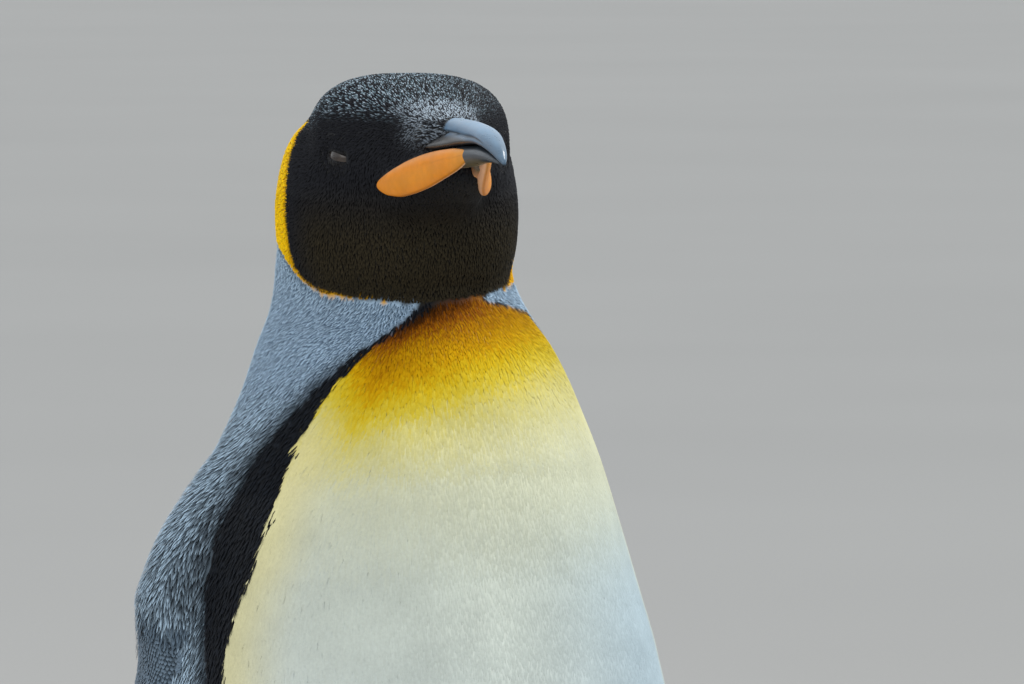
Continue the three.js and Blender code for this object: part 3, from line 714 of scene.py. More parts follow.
def over_eye(p, reach):
    """True for the places in front of an eyeball and nearer to its aim than reach."""
    found = np.zeros(len(p), bool)
    for x, y, out in eye_places(p):
        found |= (np.hypot(x, y / LID_TALL) < reach) & (out > 0)
    return found


def over_slit(p, margin):
    """True where a point is over one of the lid openings or nearer to it than margin."""
    found = np.zeros(len(p), bool)
    for x, y, out in eye_places(p):
        x, y = turned(x, y, -SLIT_TILT)
        tall = np.where(y > 0, SLIT_UP, SLIT_DOWN) + margin
        inside = ((x - SLIT_MIDDLE) / (SLIT_HALF_LENGTH + margin)) ** 2 + (y / tall) ** 2 < 1
        found |= inside & (out > 0)
    return found


def ring_quads(rings, sides):
    """Quads between closed rings that have equally many points."""
    i = np.arange(sides)
    j = (i + 1) % sides
    start = np.arange(rings - 1)[:, None] * sides
    return np.stack([start + i, start + j, start + sides + j, start + sides + i], -1).reshape(-1, 4)


def lids(side, tree):
    """Upper and lower lid as one shell, from a thick edge over the eyeball out to the face."""
    centre, aim, ahead, upward = eye_frame(side)
    angle = np.linspace(0, 2 * np.pi, LID_POINTS, endpoint=False)
    x0, y0 = slit(angle)
    reach_x, reach_y = LID_REACH * np.cos(angle), LID_REACH * LID_TALL * np.sin(angle)
    sunk = LID_SUNK + LID_SUNK_BEHIND * np.maximum(-np.cos(angle), 0)
    rings = []
    for share, height, facing in LID_RINGS:
        x, y = x0 + (reach_x - x0) * share, y0 + (reach_y - y0) * share
        flat = centre + np.outer(x, ahead) + np.outer(y, upward)
        away = np.minimum(np.hypot(x, y), EYE_SIDE)
        over = np.sqrt(EYE_RADIUS**2 - away**2) + LID_GAP + height * MM
        start = flat + aim * RAY_START
        face = np.array([RAY_START - tree.ray_cast(Vector(s), Vector(-aim))[3] for s in start])
        proud = LID_PROUD if share < LID_DIPS else LID_DIP
        if share >= 0:
            over = np.maximum(over, face - (sunk - height) * MM)
        rings.append(flat + aim * (over * (1 - facing) + (face + proud) * facing)[:, None])
    points, quads = np.concatenate(rings), ring_quads(len(rings), LID_POINTS)
    a, b, c = (points[quads[:, i]] for i in range(3))
    outward = (np.cross(b - a, c - a) @ aim).sum() > 0
    return points, quads if outward else quads[:, ::-1]


# ------------ feathers


def spots_on(points, triangles, density, rng):
    """Random places on a mesh, thicker where the density per square metre is larger."""
    a, b, c = (points[triangles[:, i]] for i in range(3))
    area = np.linalg.norm(np.cross(b - a, c - a), axis=1) / 2
    weight = area * density
    total = int(weight.sum())
    steps = np.cumsum(weight)
    chosen = np.searchsorted(steps, rng.random(total) * steps[-1])
    u, v = rng.random(total), rng.random(total)
    over = u + v > 1
    u, v = np.where(over, 1 - u, u), np.where(over, 1 - v, v)
    return a[chosen] * (1 - u - v)[:, None] + b[chosen] * u[:, None] + c[chosen] * v[:, None], chosen


def thinned(spots, spacing):
    """Indices of spots no two of which are nearer than the spacing there. They come in random order."""
    tree = KDTree(len(spots))
    places = spots.tolist()
    for i, place in enumerate(places):
        tree.insert(place, i)
    tree.balance()
    free = bytearray(b"\1") * len(places)
    kept = []
    reach = spacing.tolist()
    for i, place in enumerate(places):
        if free[i]:
            kept.append(i)
            for _, j, _ in tree.find_range(place, reach[i]):
                free[j] = 0
    return np.array(kept)


class Surface:
    """Nearest places and smooth normals on the skin."""

    def __init__(self, points, triangles, normals):
        self.tree = BVHTree.FromPolygons(points.tolist(), triangles.tolist())
        self.face_normals = unit(normals[triangles].mean(1))

    def nearest(self, p):
        spots, face = self.places(p)
        return spots, self.face_normals[face]

    def places(self, p):
        """Nearest spots and the triangles they lie on."""
        find = self.tree.find_nearest
        found = [find(place) for place in p.tolist()]
        return np.array([f[0] for f in found]), np.array([f[2] for f in found])


def tangent(direction, normals):
    """Directions laid along the surface."""
    return unit(direction - normals * (direction * normals).sum(1, keepdims=True))


def layered(base, layers):
    """Values of the base with each layer's values over them where that layer is."""
    for where, values in layers:
        base = np.where(where.reshape(-1, *[1] * (base.ndim - 1)), values, base)
    return base


def spacing_at(p, kind):
    """Distance between feather roots."""
    z = p[:, 2]
    hood, gold, breast, band = regions(p, kind)
    in_view = eased(z, *IN_VIEW)
    grey_size = 2.45 - 1.3 * in_view - 0.24 * eased(z, *SHOULDER_TO_NECK)
    layers = [
        (breast, 2.4 - 1.42 * in_view - 0.24 * eased(z, 0.645, 0.68)),
        (band, 2.1 - 0.9 * in_view),
        (gold, 0.85),
        (hood, 0.74),
        (hood & (z > 0.765) & (head_places(p)[0] > -0.02), 0.62),
        (kind == TAIL, 3.4),
        (kind == LEG, 2.0),
        (is_scaled(p, kind), 1.8),
    ]
    return layered(grey_size, layers) * MM


TAIL_LIE = np.array([0.0, 0.72, -0.69])


def lie_at(p, kind, normals):
    """Direction in which feathers point, along the surface."""
    turn = head_places(p)[2]
    z = p[:, 2]
    sink = eased(z, 0.775, 0.730) * eased(turn, 110, 40)
    sink = np.maximum(sink, eased(turn, 100, 140) * eased(z, 0.78, 0.76))
    head_lie = mixed(-FORWARD, -UP, 0.15 + 0.8 * sink)
    outward = np.stack([0.25 * np.sign(p[:, 0]), np.full(len(p), 0.5), np.zeros(len(p))], 1)
    sides = eased(breast_angle(p), 15, 60) * eased(z, 0.56, 0.64)
    lie = mixed(-UP + outward * sides[:, None], head_lie, eased(z, 0.690, 0.715))
    return tangent(layered(lie, [(kind == TAIL, TAIL_LIE)]), normals)


def vane_faces(sections):
    """Triangles of one closed vane: three points to each section, and a tip."""
    faces = [[0, 1, 2]]
    for s in range(sections - 1):
        a, b = 3 * s, 3 * s + 3
        for i, j in ((0, 2), (2, 1), (1, 0)):
            faces += [[a + i, a + j, b + j], [a + i, b + j, b + i]]
    a, tip = 3 * (sections - 1), 3 * sections
    faces += [[a, a + 2, tip], [a + 2, a + 1, tip], [a + 1, a, tip]]
    return np.array(faces)


def vanes(name, spine, aside, normals, widths, thick, colours, places):
    """Joined closed vanes. The spine is (steps, vanes, 3) from root to tip, and the tip has no width."""
    steps, count = spine.shape[:2]
    points = np.empty((count, 3 * (steps - 1) + 1, 3))
    shades = np.empty_like(points)
    flat = np.empty((count, points.shape[1], 2))
    for s in range(steps - 1):
        half = aside[s] * widths[s][:, None] / 2
        points[:, 3 * s] = spine[s] - half
        points[:, 3 * s + 1] = spine[s] + half
        points[:, 3 * s + 2] = spine[s] + normals[s] * thick[:, None]
        for k, across in enumerate((-1, 1, 0)):
            shades[:, 3 * s + k] = colours[s]
            flat[:, 3 * s + k, 0] = places[:, 0] + across * UV_PATCH / 2
            flat[:, 3 * s + k, 1] = places[:, 1] + UV_PATCH * s / (steps - 1)
    points[:, -1] = spine[-1]
    shades[:, -1] = colours[-1]
    flat[:, -1, 0] = places[:, 0]
    flat[:, -1, 1] = places[:, 1] + UV_PATCH
    points[..., 2] = np.maximum(points[..., 2], 0)  # nothing goes under the floor
    own = vane_faces(steps - 1)
    faces = (own[None] + (np.arange(count) * points.shape[1])[:, None, None]).reshape(-1, 3)
    piece = new_object(name, points.reshape(-1, 3), faces)
    set_colours(piece, shades.reshape(-1, 3))
    layer = piece.data.uv_layers.new(name="OFBake")
    layer.data.foreach_set("uv", flat.reshape(-1, 2)[faces.ravel()].astype(np.float32).ravel())
    mark_sharp_rims(piece, points.shape[1], steps - 1)
    return piece


def mark_sharp_rims(piece, size, sections):
    """The two long edges under each vane are sharp, so its top shades as a flat blade."""
    mesh = piece.data
    ends = np.empty(len(mesh.edges) * 2, np.int32)
    mesh.edges.foreach_get("vertices", ends)
    ends = np.sort((ends % size).reshape(-1, 2), 1)
    rim = [(3 * s + k, 3 * s + 3 + k) for s in range(sections - 1) for k in (0, 1)]
    rim += [(size - 4, size - 1), (size - 3, size - 1)]
    codes = ends[:, 0] * size + ends[:, 1]
    sharp = np.isin(codes, [a * size + b for a, b in rim])
    layer = mesh.attributes.new("sharp_edge", "BOOLEAN", "EDGE")
    layer.data.foreach_set("value", sharp)


UV_PATCH = 0.003
UV_MARGIN = 0.004
BILL_COAT = 0.6 * MM  # depth of the feathers over the root of the bill
ROW_STEP = 1.75 * MM
ROW_PITCH = 1.9 * MM
ROW_SLANT = 0.25
ROW_OFF = 2 * MM  # the rows are laid out this far off the skin
ROWS_FROM, ROWS_BEYOND = 0.281, 0.014  # the lowest row, and how far rows are laid out above the top line
HEAD_HEIGHT = 0.735
FLIPPER_FOOT, FLIPPER_TALL = 0.27, 0.36
ROOTS_TRIED = 4.2  # roots tried for each one that finds room


def unwrap(p, piece):
    """Place of each root on an unwrap of the piece's own form, in the unit square."""
    if piece in ("coat_face", "coat_crown", "coat_nape"):
        ahead, aside, _ = head_places(p)
        u = np.arctan2(aside, ahead) / (2 * np.pi) + 0.5
        v = np.arctan2(p[:, 2] - HEAD_HEIGHT, np.hypot(ahead, aside)) / np.pi + 0.5
    elif piece.startswith("coat_flipper"):
        face, along = blade_places(p)
        u = 0.25 + 0.22 * along + 0.5 * (face > 0)
        v = (p[:, 2] - FLIPPER_FOOT) / FLIPPER_TALL
    else:
        u = np.arctan2(p[:, 0], -(p[:, 1] - BODY_MIDDLE_Y)) / (2 * np.pi) + 0.5
        v = (p[:, 2] - p[:, 2].min()) / max(np.ptp(p[:, 2]), 1e-6)
    return UV_MARGIN + np.clip(np.stack([u, v], 1), 0, 1) * (1 - 3 * UV_MARGIN)


FEATHER = {
    # length, width and share of the coat's depth at the tip
    "hood": (3.3, 0.72, 0.9),
    "crown": (2.6, 0.48, 0.9),
    "gold": (3.6, 0.80, 1.0),
    "neck": (3.5, 0.62, 1.0),
    "shoulder": (6.2, 0.76, 1.55),
    "back": (8.5, 2.6, 0.9),
    "breast": (9.0, 1.60, 0.05),
    "ruff": (3.6, 0.66, 0.30),
    "belly": (10.5, 2.8, 0.12),
    "band": (5.5, 0.8, 0.7),
    "tail": (36.0, 5.6, 1.1),
    "leg": (6.0, 2.2, 1.0),
    "flipper": (2.6, 1.5, 1.3),
}


def between(first, last, share):
    """Sizes that change from one kind of feather to another."""
    first, last = np.array(FEATHER[first]), np.array(FEATHER[last])
    return first + (last - first) * share[:, None]


def feather_sizes(p, kind):
    """Length, width and lift of the feathers rooted at p."""
    z = p[:, 2]
    high = (z > 0.56)[:, None]
    back = between("back", "shoulder", eased(z, 0.42, 0.50))
    belly = between("belly", "breast", eased(z, *IN_VIEW))
    hood, gold, breast, band = regions(p, kind)
    layers = [
        (breast, np.where(high, between("breast", "ruff", eased(z, 0.645, 0.685)), belly)),
        (band, FEATHER["band"]),
        (gold, FEATHER["gold"]),
        (hood, between("hood", "crown", eased(z, 0.757, 0.768))),
        (kind == TAIL, FEATHER["tail"]),
        (kind == LEG, FEATHER["leg"]),
        (is_scaled(p, kind), FEATHER["flipper"]),
    ]
    return layered(np.where(high, between("shoulder", "neck", eased(z, *SHOULDER_TO_NECK)), back), layers)


RIDGE = 0.08  # height of each vane's middle ridge to its width
RIDGE_OF = {"breast_feathers": 0.05}  # where it is flatter
COATS = [
    # name, slot, whether the vanes have four steps, and the finish: roughness low and high, specular
    # level and strength of the fine tone change
    ("coat_face", "head_feathers", False, (0.65, 0.85, 0.06, 0.30)),
    ("coat_crown", "head_feathers", False, (0.60, 0.80, 0.10, 0.35)),
    ("coat_nape", "head_feathers", False, (0.60, 0.80, 0.10, 0.35)),
    ("coat_neck", "nape_feathers", False, (0.60, 0.80, 0.14, 0.16)),
    ("coat_chest", "breast_feathers", False, (0.75, 0.90, 0.05, 0.05)),
    ("coat_breast", "breast_feathers", False, (0.75, 0.90, 0.06, 0.05)),
    ("coat_belly", "breast_feathers", False, (0.65, 0.85, 0.12, 0.07)),
    ("coat_shoulders", "back_feathers", False, (0.50, 0.70, 0.18, 0.20)),
    ("coat_back", "back_feathers", False, (0.50, 0.70, 0.28, 0.20)),
    ("coat_flipper_left", "back_feathers", False, (0.45, 0.62, 0.30, 0.18)),
    ("coat_flipper_right", "back_feathers", False, (0.45, 0.62, 0.30, 0.18)),
    ("coat_tail", "back_feathers", True, (0.40, 0.60, 0.32, 0.25)),
    ("coat_legs", "breast_feathers", True, (0.65, 0.85, 0.20, 0.12)),
]

FACE_BELOW, CHEST_ABOVE, BREAST_ABOVE, SHOULDERS_ABOVE = 0.738, 0.62, 0.50, 0.45  # where the pieces meet


def piece_of(p, kind):
    """Name of the piece that each root belongs to."""
    z = p[:, 2]
    hood, gold, breast, _ = regions(p, kind)
    scaled = is_scaled(p, kind)
    rules = [
        (scaled & (p[:, 0] > 0), "coat_flipper_left"),
        (scaled, "coat_flipper_right"),
        (kind == TAIL, "coat_tail"),
        (kind == LEG, "coat_legs"),
        ((hood | gold) & (z < FACE_BELOW), "coat_face"),
        ((hood | gold) & (head_places(p)[0] > 0), "coat_crown"),
        (hood | gold, "coat_nape"),
        (breast & (z >= CHEST_ABOVE), "coat_chest"),
        (breast & (z >= BREAST_ABOVE), "coat_breast"),
        (breast, "coat_belly"),
        (z >= CHEST_ABOVE, "coat_neck"),
        (z >= SHOULDERS_ABOVE, "coat_shoulders"),
    ]
    return np.select([rule for rule, _ in rules], [name for _, name in rules], "coat_back")


def flipper_rows(skin):
    """Roots of the small feathers of both flippers, in even slanting rows all round each."""
    found = []
    turn = np.linspace(0, 2 * np.pi, 721)
    for number, z in enumerate(np.arange(ROWS_FROM, FLIPPER_TOP + ROWS_BEYOND, ROW_STEP)):
        out, middle, chord, thick = (read(FLIPPER_TABLE, z / MM, column) * MM for column in (1, 2, 3, 4))
        along, face = (chord / 2 + ROW_OFF) * np.cos(turn), (thick / 2 + ROW_OFF) * np.sin(turn)
        run = np.concatenate([[0], np.cumsum(np.hypot(np.diff(along), np.diff(face)))])
        stops = np.arange((number % 2) * ROW_PITCH / 2, run[-1], ROW_PITCH)
        along, face = np.interp(stops, run, along), np.interp(stops, run, face)
        x, y = turned(face, along, FLIPPER_LEAN)
        for side in (-1, 1):
            found.append(np.stack([side * (out + x), middle + y, z + along * ROW_SLANT], 1))
    return skin.places(np.concatenate(found))


def feather_roots(points, triangles, kinds, skin, rng):
    """Where the feathers stand, and the triangle under each."""
    middle = points[triangles].mean(1)
    kind_here = kinds[triangles[:, 0]]
    density = ROOTS_TRIED / spacing_at(middle, kind_here) ** 2
    density[(kind_here == FOOT) | is_scaled(middle, kind_here)] = 0
    spots, face = spots_on(points, triangles, density, rng)
    kept = thinned(spots, spacing_at(spots, kind_here[face]))
    spots, face = spots[kept], face[kept]
    rows, row_face = flipper_rows(skin)
    kept = is_scaled(rows, kind_here[row_face])
    return np.concatenate([spots, rows[kept]]), np.concatenate([face, row_face[kept]])


SEED = 20
STEPS = 0.38, 0.34, 0.28  # shares of a feather's length from each point of its middle line to the next
RISE = -0.05, 0.45, 0.8, 1.0  # shares of its lift at those points
NEAR_EYE = 3.5 * MM  # feathers are shorter and flatter this near to the lid openings
LENGTHS, WIDTHS, LIFTS = (0.85, 1.15), (0.88, 1.12), (0.75, 1.05)  # how much feathers vary from their sizes
LEAN_SPREAD = 0.10
SHIFT_SPREAD = 0.4 * MM
BREAST_TONES, OTHER_TONES = 0.018, 0.06
WISPY_SHARE = 0.6
SHORT_BY_EYE, FLAT_BY_EYE, SHORT_AT_EDGE = 0.55, 0.5, 0.5
# Share of the way from its root's colour to its tip's that a feather has reached before its last step.
LATE_HEM, LATE_GREY, LATE_OTHERS = 0.25, 0.56, 0.85
OFF_SLIT = 0.6 * MM
OFF_PLATE = 0.7 * MM
BY_PLATES = 0.02  # ahead of this the feathers of the head are kept off the coloured plates
WISPY_BELOW = 0.67  # below this some feathers run on over the edge of the band
NARROW_ABOVE = 0.680  # above this the narrow band's feathers do
STEPPED_WIDTHS, PLAIN_WIDTHS = (0.45, 0.95, 0.80), (0.45, 1.0)  # at each step before the tip


def spines(skin, root, here, lie, length, lift):
    """Middle lines of the feathers from root to tip, and the directions across them and off the skin."""
    spots, ups, direction = [root], [here], lie
    for step in STEPS:
        spot, normal = skin.nearest(spots[-1] + direction * (length * step)[:, None])
        direction = tangent(direction, normal)
        spots.append(spot)
        ups.append(normal)
    lines = np.stack([s + n * (lift * r)[:, None] for s, n, r in zip(spots, ups, RISE)])
    runs = [unit(lines[min(i + 1, 3)] - lines[max(i - 1, 0)]) for i in range(4)]
    sides = np.stack([np.cross(run, up) for run, up in zip(runs, ups)])
    return lines, unit(sides), np.stack(ups)


def grow_coat(points, triangles, kinds, depth, keep_off):
    """Feathers all over the ground, as one joined mesh for each part of the coat."""
    rng = np.random.default_rng(SEED)
    normals = point_normals(points, triangles)
    skin = Surface(points, triangles, normals)
    root, face = feather_roots(points, triangles, kinds, skin, rng)
    kind = kinds[triangles[face][:, 0]]
    here = unit(normals[triangles[face]].mean(1))
    scaled = is_scaled(root, kind)
    room = np.where((kind == FLIPPER) & ~scaled, COAT_DEPTH[TRUNK], depth[triangles[face]].mean(1))
    sizes = feather_sizes(root, kind)
    count = len(root)
    length = sizes[:, 0] * MM * rng.uniform(*LENGTHS, count)
    width = sizes[:, 1] * MM * rng.uniform(*WIDTHS, count)
    lift = sizes[:, 2] * room * rng.uniform(*LIFTS, count)
    by_eye = over_slit(root, NEAR_EYE)
    length[by_eye] *= SHORT_BY_EYE
    lift[by_eye] *= FLAT_BY_EYE
    lie = lie_at(root, kind, here)
    own = marking(root, kind)
    beyond = marking(root + lie * length[:, None], kind)
    on_body = (own >= BREAST_MARK) & (beyond >= BREAST_MARK)
    wispy = on_body & (root[:, 2] < WISPY_BELOW) & (rng.random(count) < WISPY_SHARE)
    length = np.where((own != beyond) & ~wispy, SHORT_AT_EDGE * length, length)
    lie = unit(lie + np.cross(lie, here) * rng.normal(0, LEAN_SPREAD, count)[:, None])
    chance = rng.random(count)
    shift = rng.normal(0, SHIFT_SPREAD, count)
    tone = 1 + rng.normal(0, 1, count) * np.where(own == BREAST_MARK, BREAST_TONES, OTHER_TONES)

    lines, sides, ups = spines(skin, root, here, lie, length, lift)
    tip = lines[-1]
    at_tip = marking(tip, kind)
    hem = (own == HOOD_MARK) & (at_tip == GOLD_MARK)
    narrow = (own == BAND_MARK) & (root[:, 2] > NARROW_ABOVE)
    crossing = ((wispy & (at_tip >= BREAST_MARK)) | narrow) & (own != at_tip)
    clear = (own == at_tip) | hem | (kind == FLIPPER) | crossing
    clear &= (own != GOLD_MARK) | (root[:, 2] > GOLD_HEM)
    for places in (root, lines[1], tip):
        clear &= ~over_slit(places, OFF_SLIT)
    for i in np.flatnonzero((head_places(root)[0] > BY_PLATES) & (kind == HEAD)):
        clear[i] &= all(keep_off.find_nearest(place)[3] >= OFF_PLATE for place in (lines[2][i], tip[i]))

    drawn_at = np.where(crossing[:, None], root, tip)
    root_colour, tip_colour = coat_colours(drawn_at, kind, np.where(crossing, 0, shift), chance)
    tip_colour = tip_colour * tone[:, None]
    root_colour[hem] = HOOD_BLACK[0]
    late = np.where(hem, LATE_HEM, np.where((own == 0) & ~scaled, LATE_GREY, LATE_OTHERS))
    early = [mixed(root_colour, tip_colour, share) for share in (0 * late, 0.4 * late, late)]
    shades = [*early, tip_colour]
    belongs = piece_of(root, kind)
    for name, slot, stepped, finish in COATS:
        chosen = clear & (belongs == name)
        steps = [0, 1, 2, 3] if stepped else [0, 2, 3]
        shares = STEPPED_WIDTHS if stepped else PLAIN_WIDTHS
        piece = vanes(
            name,
            lines[steps][:, chosen],
            sides[steps][:, chosen],
            ups[steps][:, chosen],
            [width[chosen] * share for share in shares],
            RIDGE_OF.get(slot, RIDGE) * width[chosen],
            [shades[step][chosen] for step in steps],
            unwrap(root[chosen], name),
        )
        piece.data.materials.append(coat_material(name, *finish))
        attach(piece, "root")
        print(name, int(chosen.sum()), "feathers", len(piece.data.polygons), "triangles")


# ------------ materials


class Material:
    """A Principled material with short ways to add nodes."""

    def __init__(self, name, **values):
        self.material = bpy.data.materials.new(name)
        self.material.use_nodes = True
        self.tree = self.material.node_tree
        self.shader = next(n for n in self.tree.nodes if n.type == "BSDF_PRINCIPLED")
        self.place = self.tree.nodes.new("ShaderNodeTexCoord").outputs["Object"]
        for key, value in values.items():
            self.shader.inputs[key.replace("_", " ")].default_value = value

    def node(self, kind, inputs=None, **settings):
        node = self.tree.nodes.new(kind)
        for key, value in settings.items():
            setattr(node, key, value)
        for key, value in (inputs or {}).items():
            if isinstance(value, bpy.types.NodeSocket):
                self.tree.links.new(value, node.inputs[key])
            else:
                node.inputs[key].default_value = value
        return node

    def link(self, output, name):
        self.tree.links.new(output, self.shader.inputs[name])

    def noise(self, scale, detail=3, place=None, roughness=0.55):
        inputs = {"Vector": place or self.place, "Scale": scale, "Detail": detail, "Roughness": roughness}
        return self.node("ShaderNodeTexNoise", inputs).outputs["Fac"]

    def ranged(self, value, low, high, from_low=0.3, from_high=0.7):
        inputs = {"Value": value, "From Min": from_low, "From Max": from_high, "To Min": low, "To Max": high}
        return self.node("ShaderNodeMapRange", inputs).outputs["Result"]

    def times(self, colour, factor):
        """A colour made lighter or darker by a number that varies over the surface."""
        node = self.node("ShaderNodeVectorMath", {0: colour, 1: factor}, operation="MULTIPLY")
        return node.outputs["Vector"]

    def attribute(self, name):
        return self.node("ShaderNodeAttribute", attribute_name=name).outputs["Color"]

    def bump(self, height, distance, strength=1.0, onto=None):
        inputs = {"Height": height, "Distance": distance, "Strength": strength}
        if onto is not None:
            inputs["Normal"] = onto
        return self.node("ShaderNodeBump", inputs).outputs["Normal"]


def coat_material(name, rough_low, rough_high, specular, change):
    """Feathers with fine barbs and an uneven tone over the colours of the coat."""
    m = Material("mat_" + name, Specular_IOR_Level=specular)
    fine = m.noise(900, 4)
    wide = m.noise(38, 3)
    tone = m.ranged(fine, 1 - change, 1 + change)
    patch = m.ranged(wide, 0.93, 1.07)
    m.link(m.times(m.times(m.attribute("coat_colour"), tone), patch), "Base Color")
    m.link(m.ranged(fine, rough_low, rough_high), "Roughness")
    barbs = m.noise(2600, 2)
    m.link(m.bump(barbs, 0.12 * MM, 0.6), "Normal")
    return m.material


def skin_material():
    """Bare black skin of the feet and lids, and the skin under the coat."""
    m = Material("mat_skin", Specular_IOR_Level=0.2)
    cells = m.node("ShaderNodeTexVoronoi", {"Vector": m.place, "Scale": 420.0}, feature="DISTANCE_TO_EDGE")
    scale_height = m.ranged(cells.outputs["Distance"], 0, 1, 0, 0.25)
    fine = m.noise(1500, 4)
    bare = m.node("ShaderNodeAttribute", attribute_name="bare").outputs["Fac"]
    scales = m.node("ShaderNodeMath", {0: scale_height, 1: bare}, operation="MULTIPLY").outputs[0]
    tone = m.ranged(scales, 1.0, 1.9, 0, 1)
    m.link(m.times(m.times(m.attribute("coat_colour"), tone), m.ranged(fine, 0.85, 1.15)), "Base Color")
    m.link(m.ranged(fine, 0.42, 0.68), "Roughness")
    m.link(m.bump(fine, 0.08 * MM, 0.6, m.bump(scales, 0.35 * MM, 0.8)), "Normal")
    return m.material


def horn_material(name, roughness, streaks, change, bump=0.05, coat=0.0, specular=0.5):
    """Horn with streaks along the bill and a colour that follows its plates."""
    m = Material(name, Specular_IOR_Level=specular, Coat_Weight=coat, Coat_Roughness=0.25)
    in_line = m.node("ShaderNodeMapping", {"Vector": m.place, "Rotation": (0, 0, HEAD_TURN)})
    inputs = {"Vector": in_line.outputs["Vector"], "Scale": streaks}
    long_place = m.node("ShaderNodeMapping", inputs).outputs["Vector"]
    lines = m.noise(1.0, 5, long_place, 0.6)
    blotch = m.noise(160, 3)
    pits = m.noise(2400, 2)
    colour = m.times(m.attribute("horn_colour"), m.ranged(lines, 1 - change, 1 + change))
    m.link(m.times(colour, m.ranged(blotch, 0.92, 1.08)), "Base Color")
    m.link(m.ranged(lines, roughness - 0.06, roughness + 0.12), "Roughness")
    m.link(m.bump(pits, 0.03 * MM, 0.5, m.bump(lines, bump * MM, 0.7)), "Normal")
    return m.material


def eye_material():
    m = Material("mat_eye", Roughness=0.2, Specular_IOR_Level=0.35, Coat_Weight=0.3, Coat_Roughness=0.03)
    fibres = m.noise(900, 4)
    m.link(m.times(m.attribute("horn_colour"), m.ranged(fibres, 0.85, 1.15)), "Base Color")
    return m.material


def floor_material():
    m = Material("mat_floor", Specular_IOR_Level=0.2)
    grain = m.noise(240, 4)
    wash = m.noise(0.8, 2)
    base = m.node("ShaderNodeRGB")
    base.outputs[0].default_value = (*paint("B4B2AE"), 1)
    grey = m.times(base.outputs[0], m.ranged(grain, 0.97, 1.03))
    m.link(m.times(grey, m.ranged(wash, 0.98, 1.02)), "Base Color")
    m.link(m.ranged(grain, 0.75, 0.9), "Roughness")
    return m.material


# ------------ bill, eyes and claws

UPPER_BILL = [
    # forward, half width, top and bottom in mm
    (64, 15, 769.6, 756.2), (80, 14.2, 771.2, 757.2), (90, 13, 771.7, 758.4), (100, 10.8, 771.9, 759.5),
    (110, 8.8, 771.9, 760.9), (120, 7.4, 771.8, 762.2), (138, 5.5, 770.8, 763.4), (150, 4.4, 768.8, 762.4),
    (160, 3.2, 765.8, 760.4), (167, 2, 762.4, 758.2), (171, 0.7, 759, 756.8),
]
RIDGE_SHARE = [
    # forward, and the ridge plate's width to the whole
    (82, 1.0), (91, 0.37), (105, 0.50), (120, 0.68), (138, 0.86), (150, 1.0),
]
RIDGE_START = 91  # feathers cover the ridge up to here
FLANK_START = 88  # and the side plate up to here at the gape, further forward higher up
FLANK_SLANT = 12
LOWER_TIP = [
    (100, 9.4, 760.4, 752.2), (118, 6.8, 762.3, 753.6), (138, 4.8, 762.8, 756), (150, 3.7, 761.8, 756.8),
    (159, 2.5, 760, 757), (165, 1, 758.2, 756.8),
]
RAMUS = [
    # forward, outer face, top and bottom in mm
    (42, 22, 749, 740), (60, 18.8, 752, 740.8), (85, 12, 757, 745.6), (110, 7.4, 761, 751.8),
]
PLATE = [
    # forward, outer face, top and bottom in mm, and share of the full thickness
    (49.8, 24, 744.1, 741.8, 0.5), (52, 23.8, 745.3, 741.1, 0.75), (55, 23.2, 746.8, 740.2, 0.95),
    (60, 22.2, 748.9, 739.4, 1), (67.5, 20.2, 751.7, 739.3, 1), (75, 17.8, 754.3, 740.4, 1),
    (90, 14, 757.8, 743.9, 1), (105, 11, 759.9, 748.4, 0.95), (118, 8.6, 760.9, 752.6, 0.8),
    (126, 7.1, 760.9, 756.2, 0.6), (129.5, 6.4, 760.4, 757.9, 0.5), (131.5, 6.1, 759.8, 759.2, 0.3),
]
RAMUS_THICKNESS = 5
PLATE_THICKNESS = 5.6

UPPER_STATIONS, UPPER_SIDES = 130, 88
LOWER_STATIONS, LOWER_SIDES = 60, 48
RAMUS_STATIONS, RAMUS_SIDES = 40, 28
PLATE_STATIONS, PLATE_SIDES = 90, 56
EYE_STATIONS, EYE_SIDES = 64, 64
SHARP_SECTION, ROUND_SECTION, SIDE_SECTION, PLATE_SECTION = 3.4, 2.1, 2.4, 2.2  # 2 is an ellipse


def rounded(angle, right, up, middle, squareness):
    """Closed section with the given half width, and half heights up and down from the middle."""
    across = np.sign(np.cos(angle)) * np.abs(np.cos(angle)) ** (2 / squareness)
    rise = np.sign(np.sin(angle)) * np.abs(np.sin(angle)) ** (2 / squareness)
    return across * right, middle + rise * up


def stations_along(table, count):
    """Distances forward along a table, closer together near its two ends."""
    first, last = table[0][0], table[-1][0]
    t = np.linspace(0, 1, count)
    share = 0.55 * t + 0.225 * (1 - np.cos(np.pi * t))
    return first + (last - first) * share


def lofted(rings):
    """Points and triangles of a closed form over rings with equal numbers of points."""
    count, sides = rings.shape[:2]
    points = np.concatenate([rings.reshape(-1, 3), rings[0].mean(0)[None], rings[-1].mean(0)[None]])
    walls = ring_quads(count, sides)[:, [0, 1, 2, 0, 2, 3]]
    i = np.arange(sides)
    j = (i + 1) % sides
    top = (count - 1) * sides
    first, last = np.full(sides, count * sides), np.full(sides, count * sides + 1)
    ends = np.stack([first, j, i, last, top + i, top + j], 1)
    faces = np.concatenate([walls, ends]).reshape(-1, 3)
    a, b, c = (points[faces[:, k]] for k in range(3))
    return points, faces[:, ::-1] if (a * np.cross(b, c)).sum() < 0 else faces


def with_ends(colour, last=-1):
    """Colours of the points of a lofted form: of its rings, and of the middles of its two ends.

    The first end has the colour of its ring's first point, and the other that of the one numbered last.
    """
    return np.concatenate([colour.reshape(-1, 3), colour[0, :1], colour[-1, last][None]])


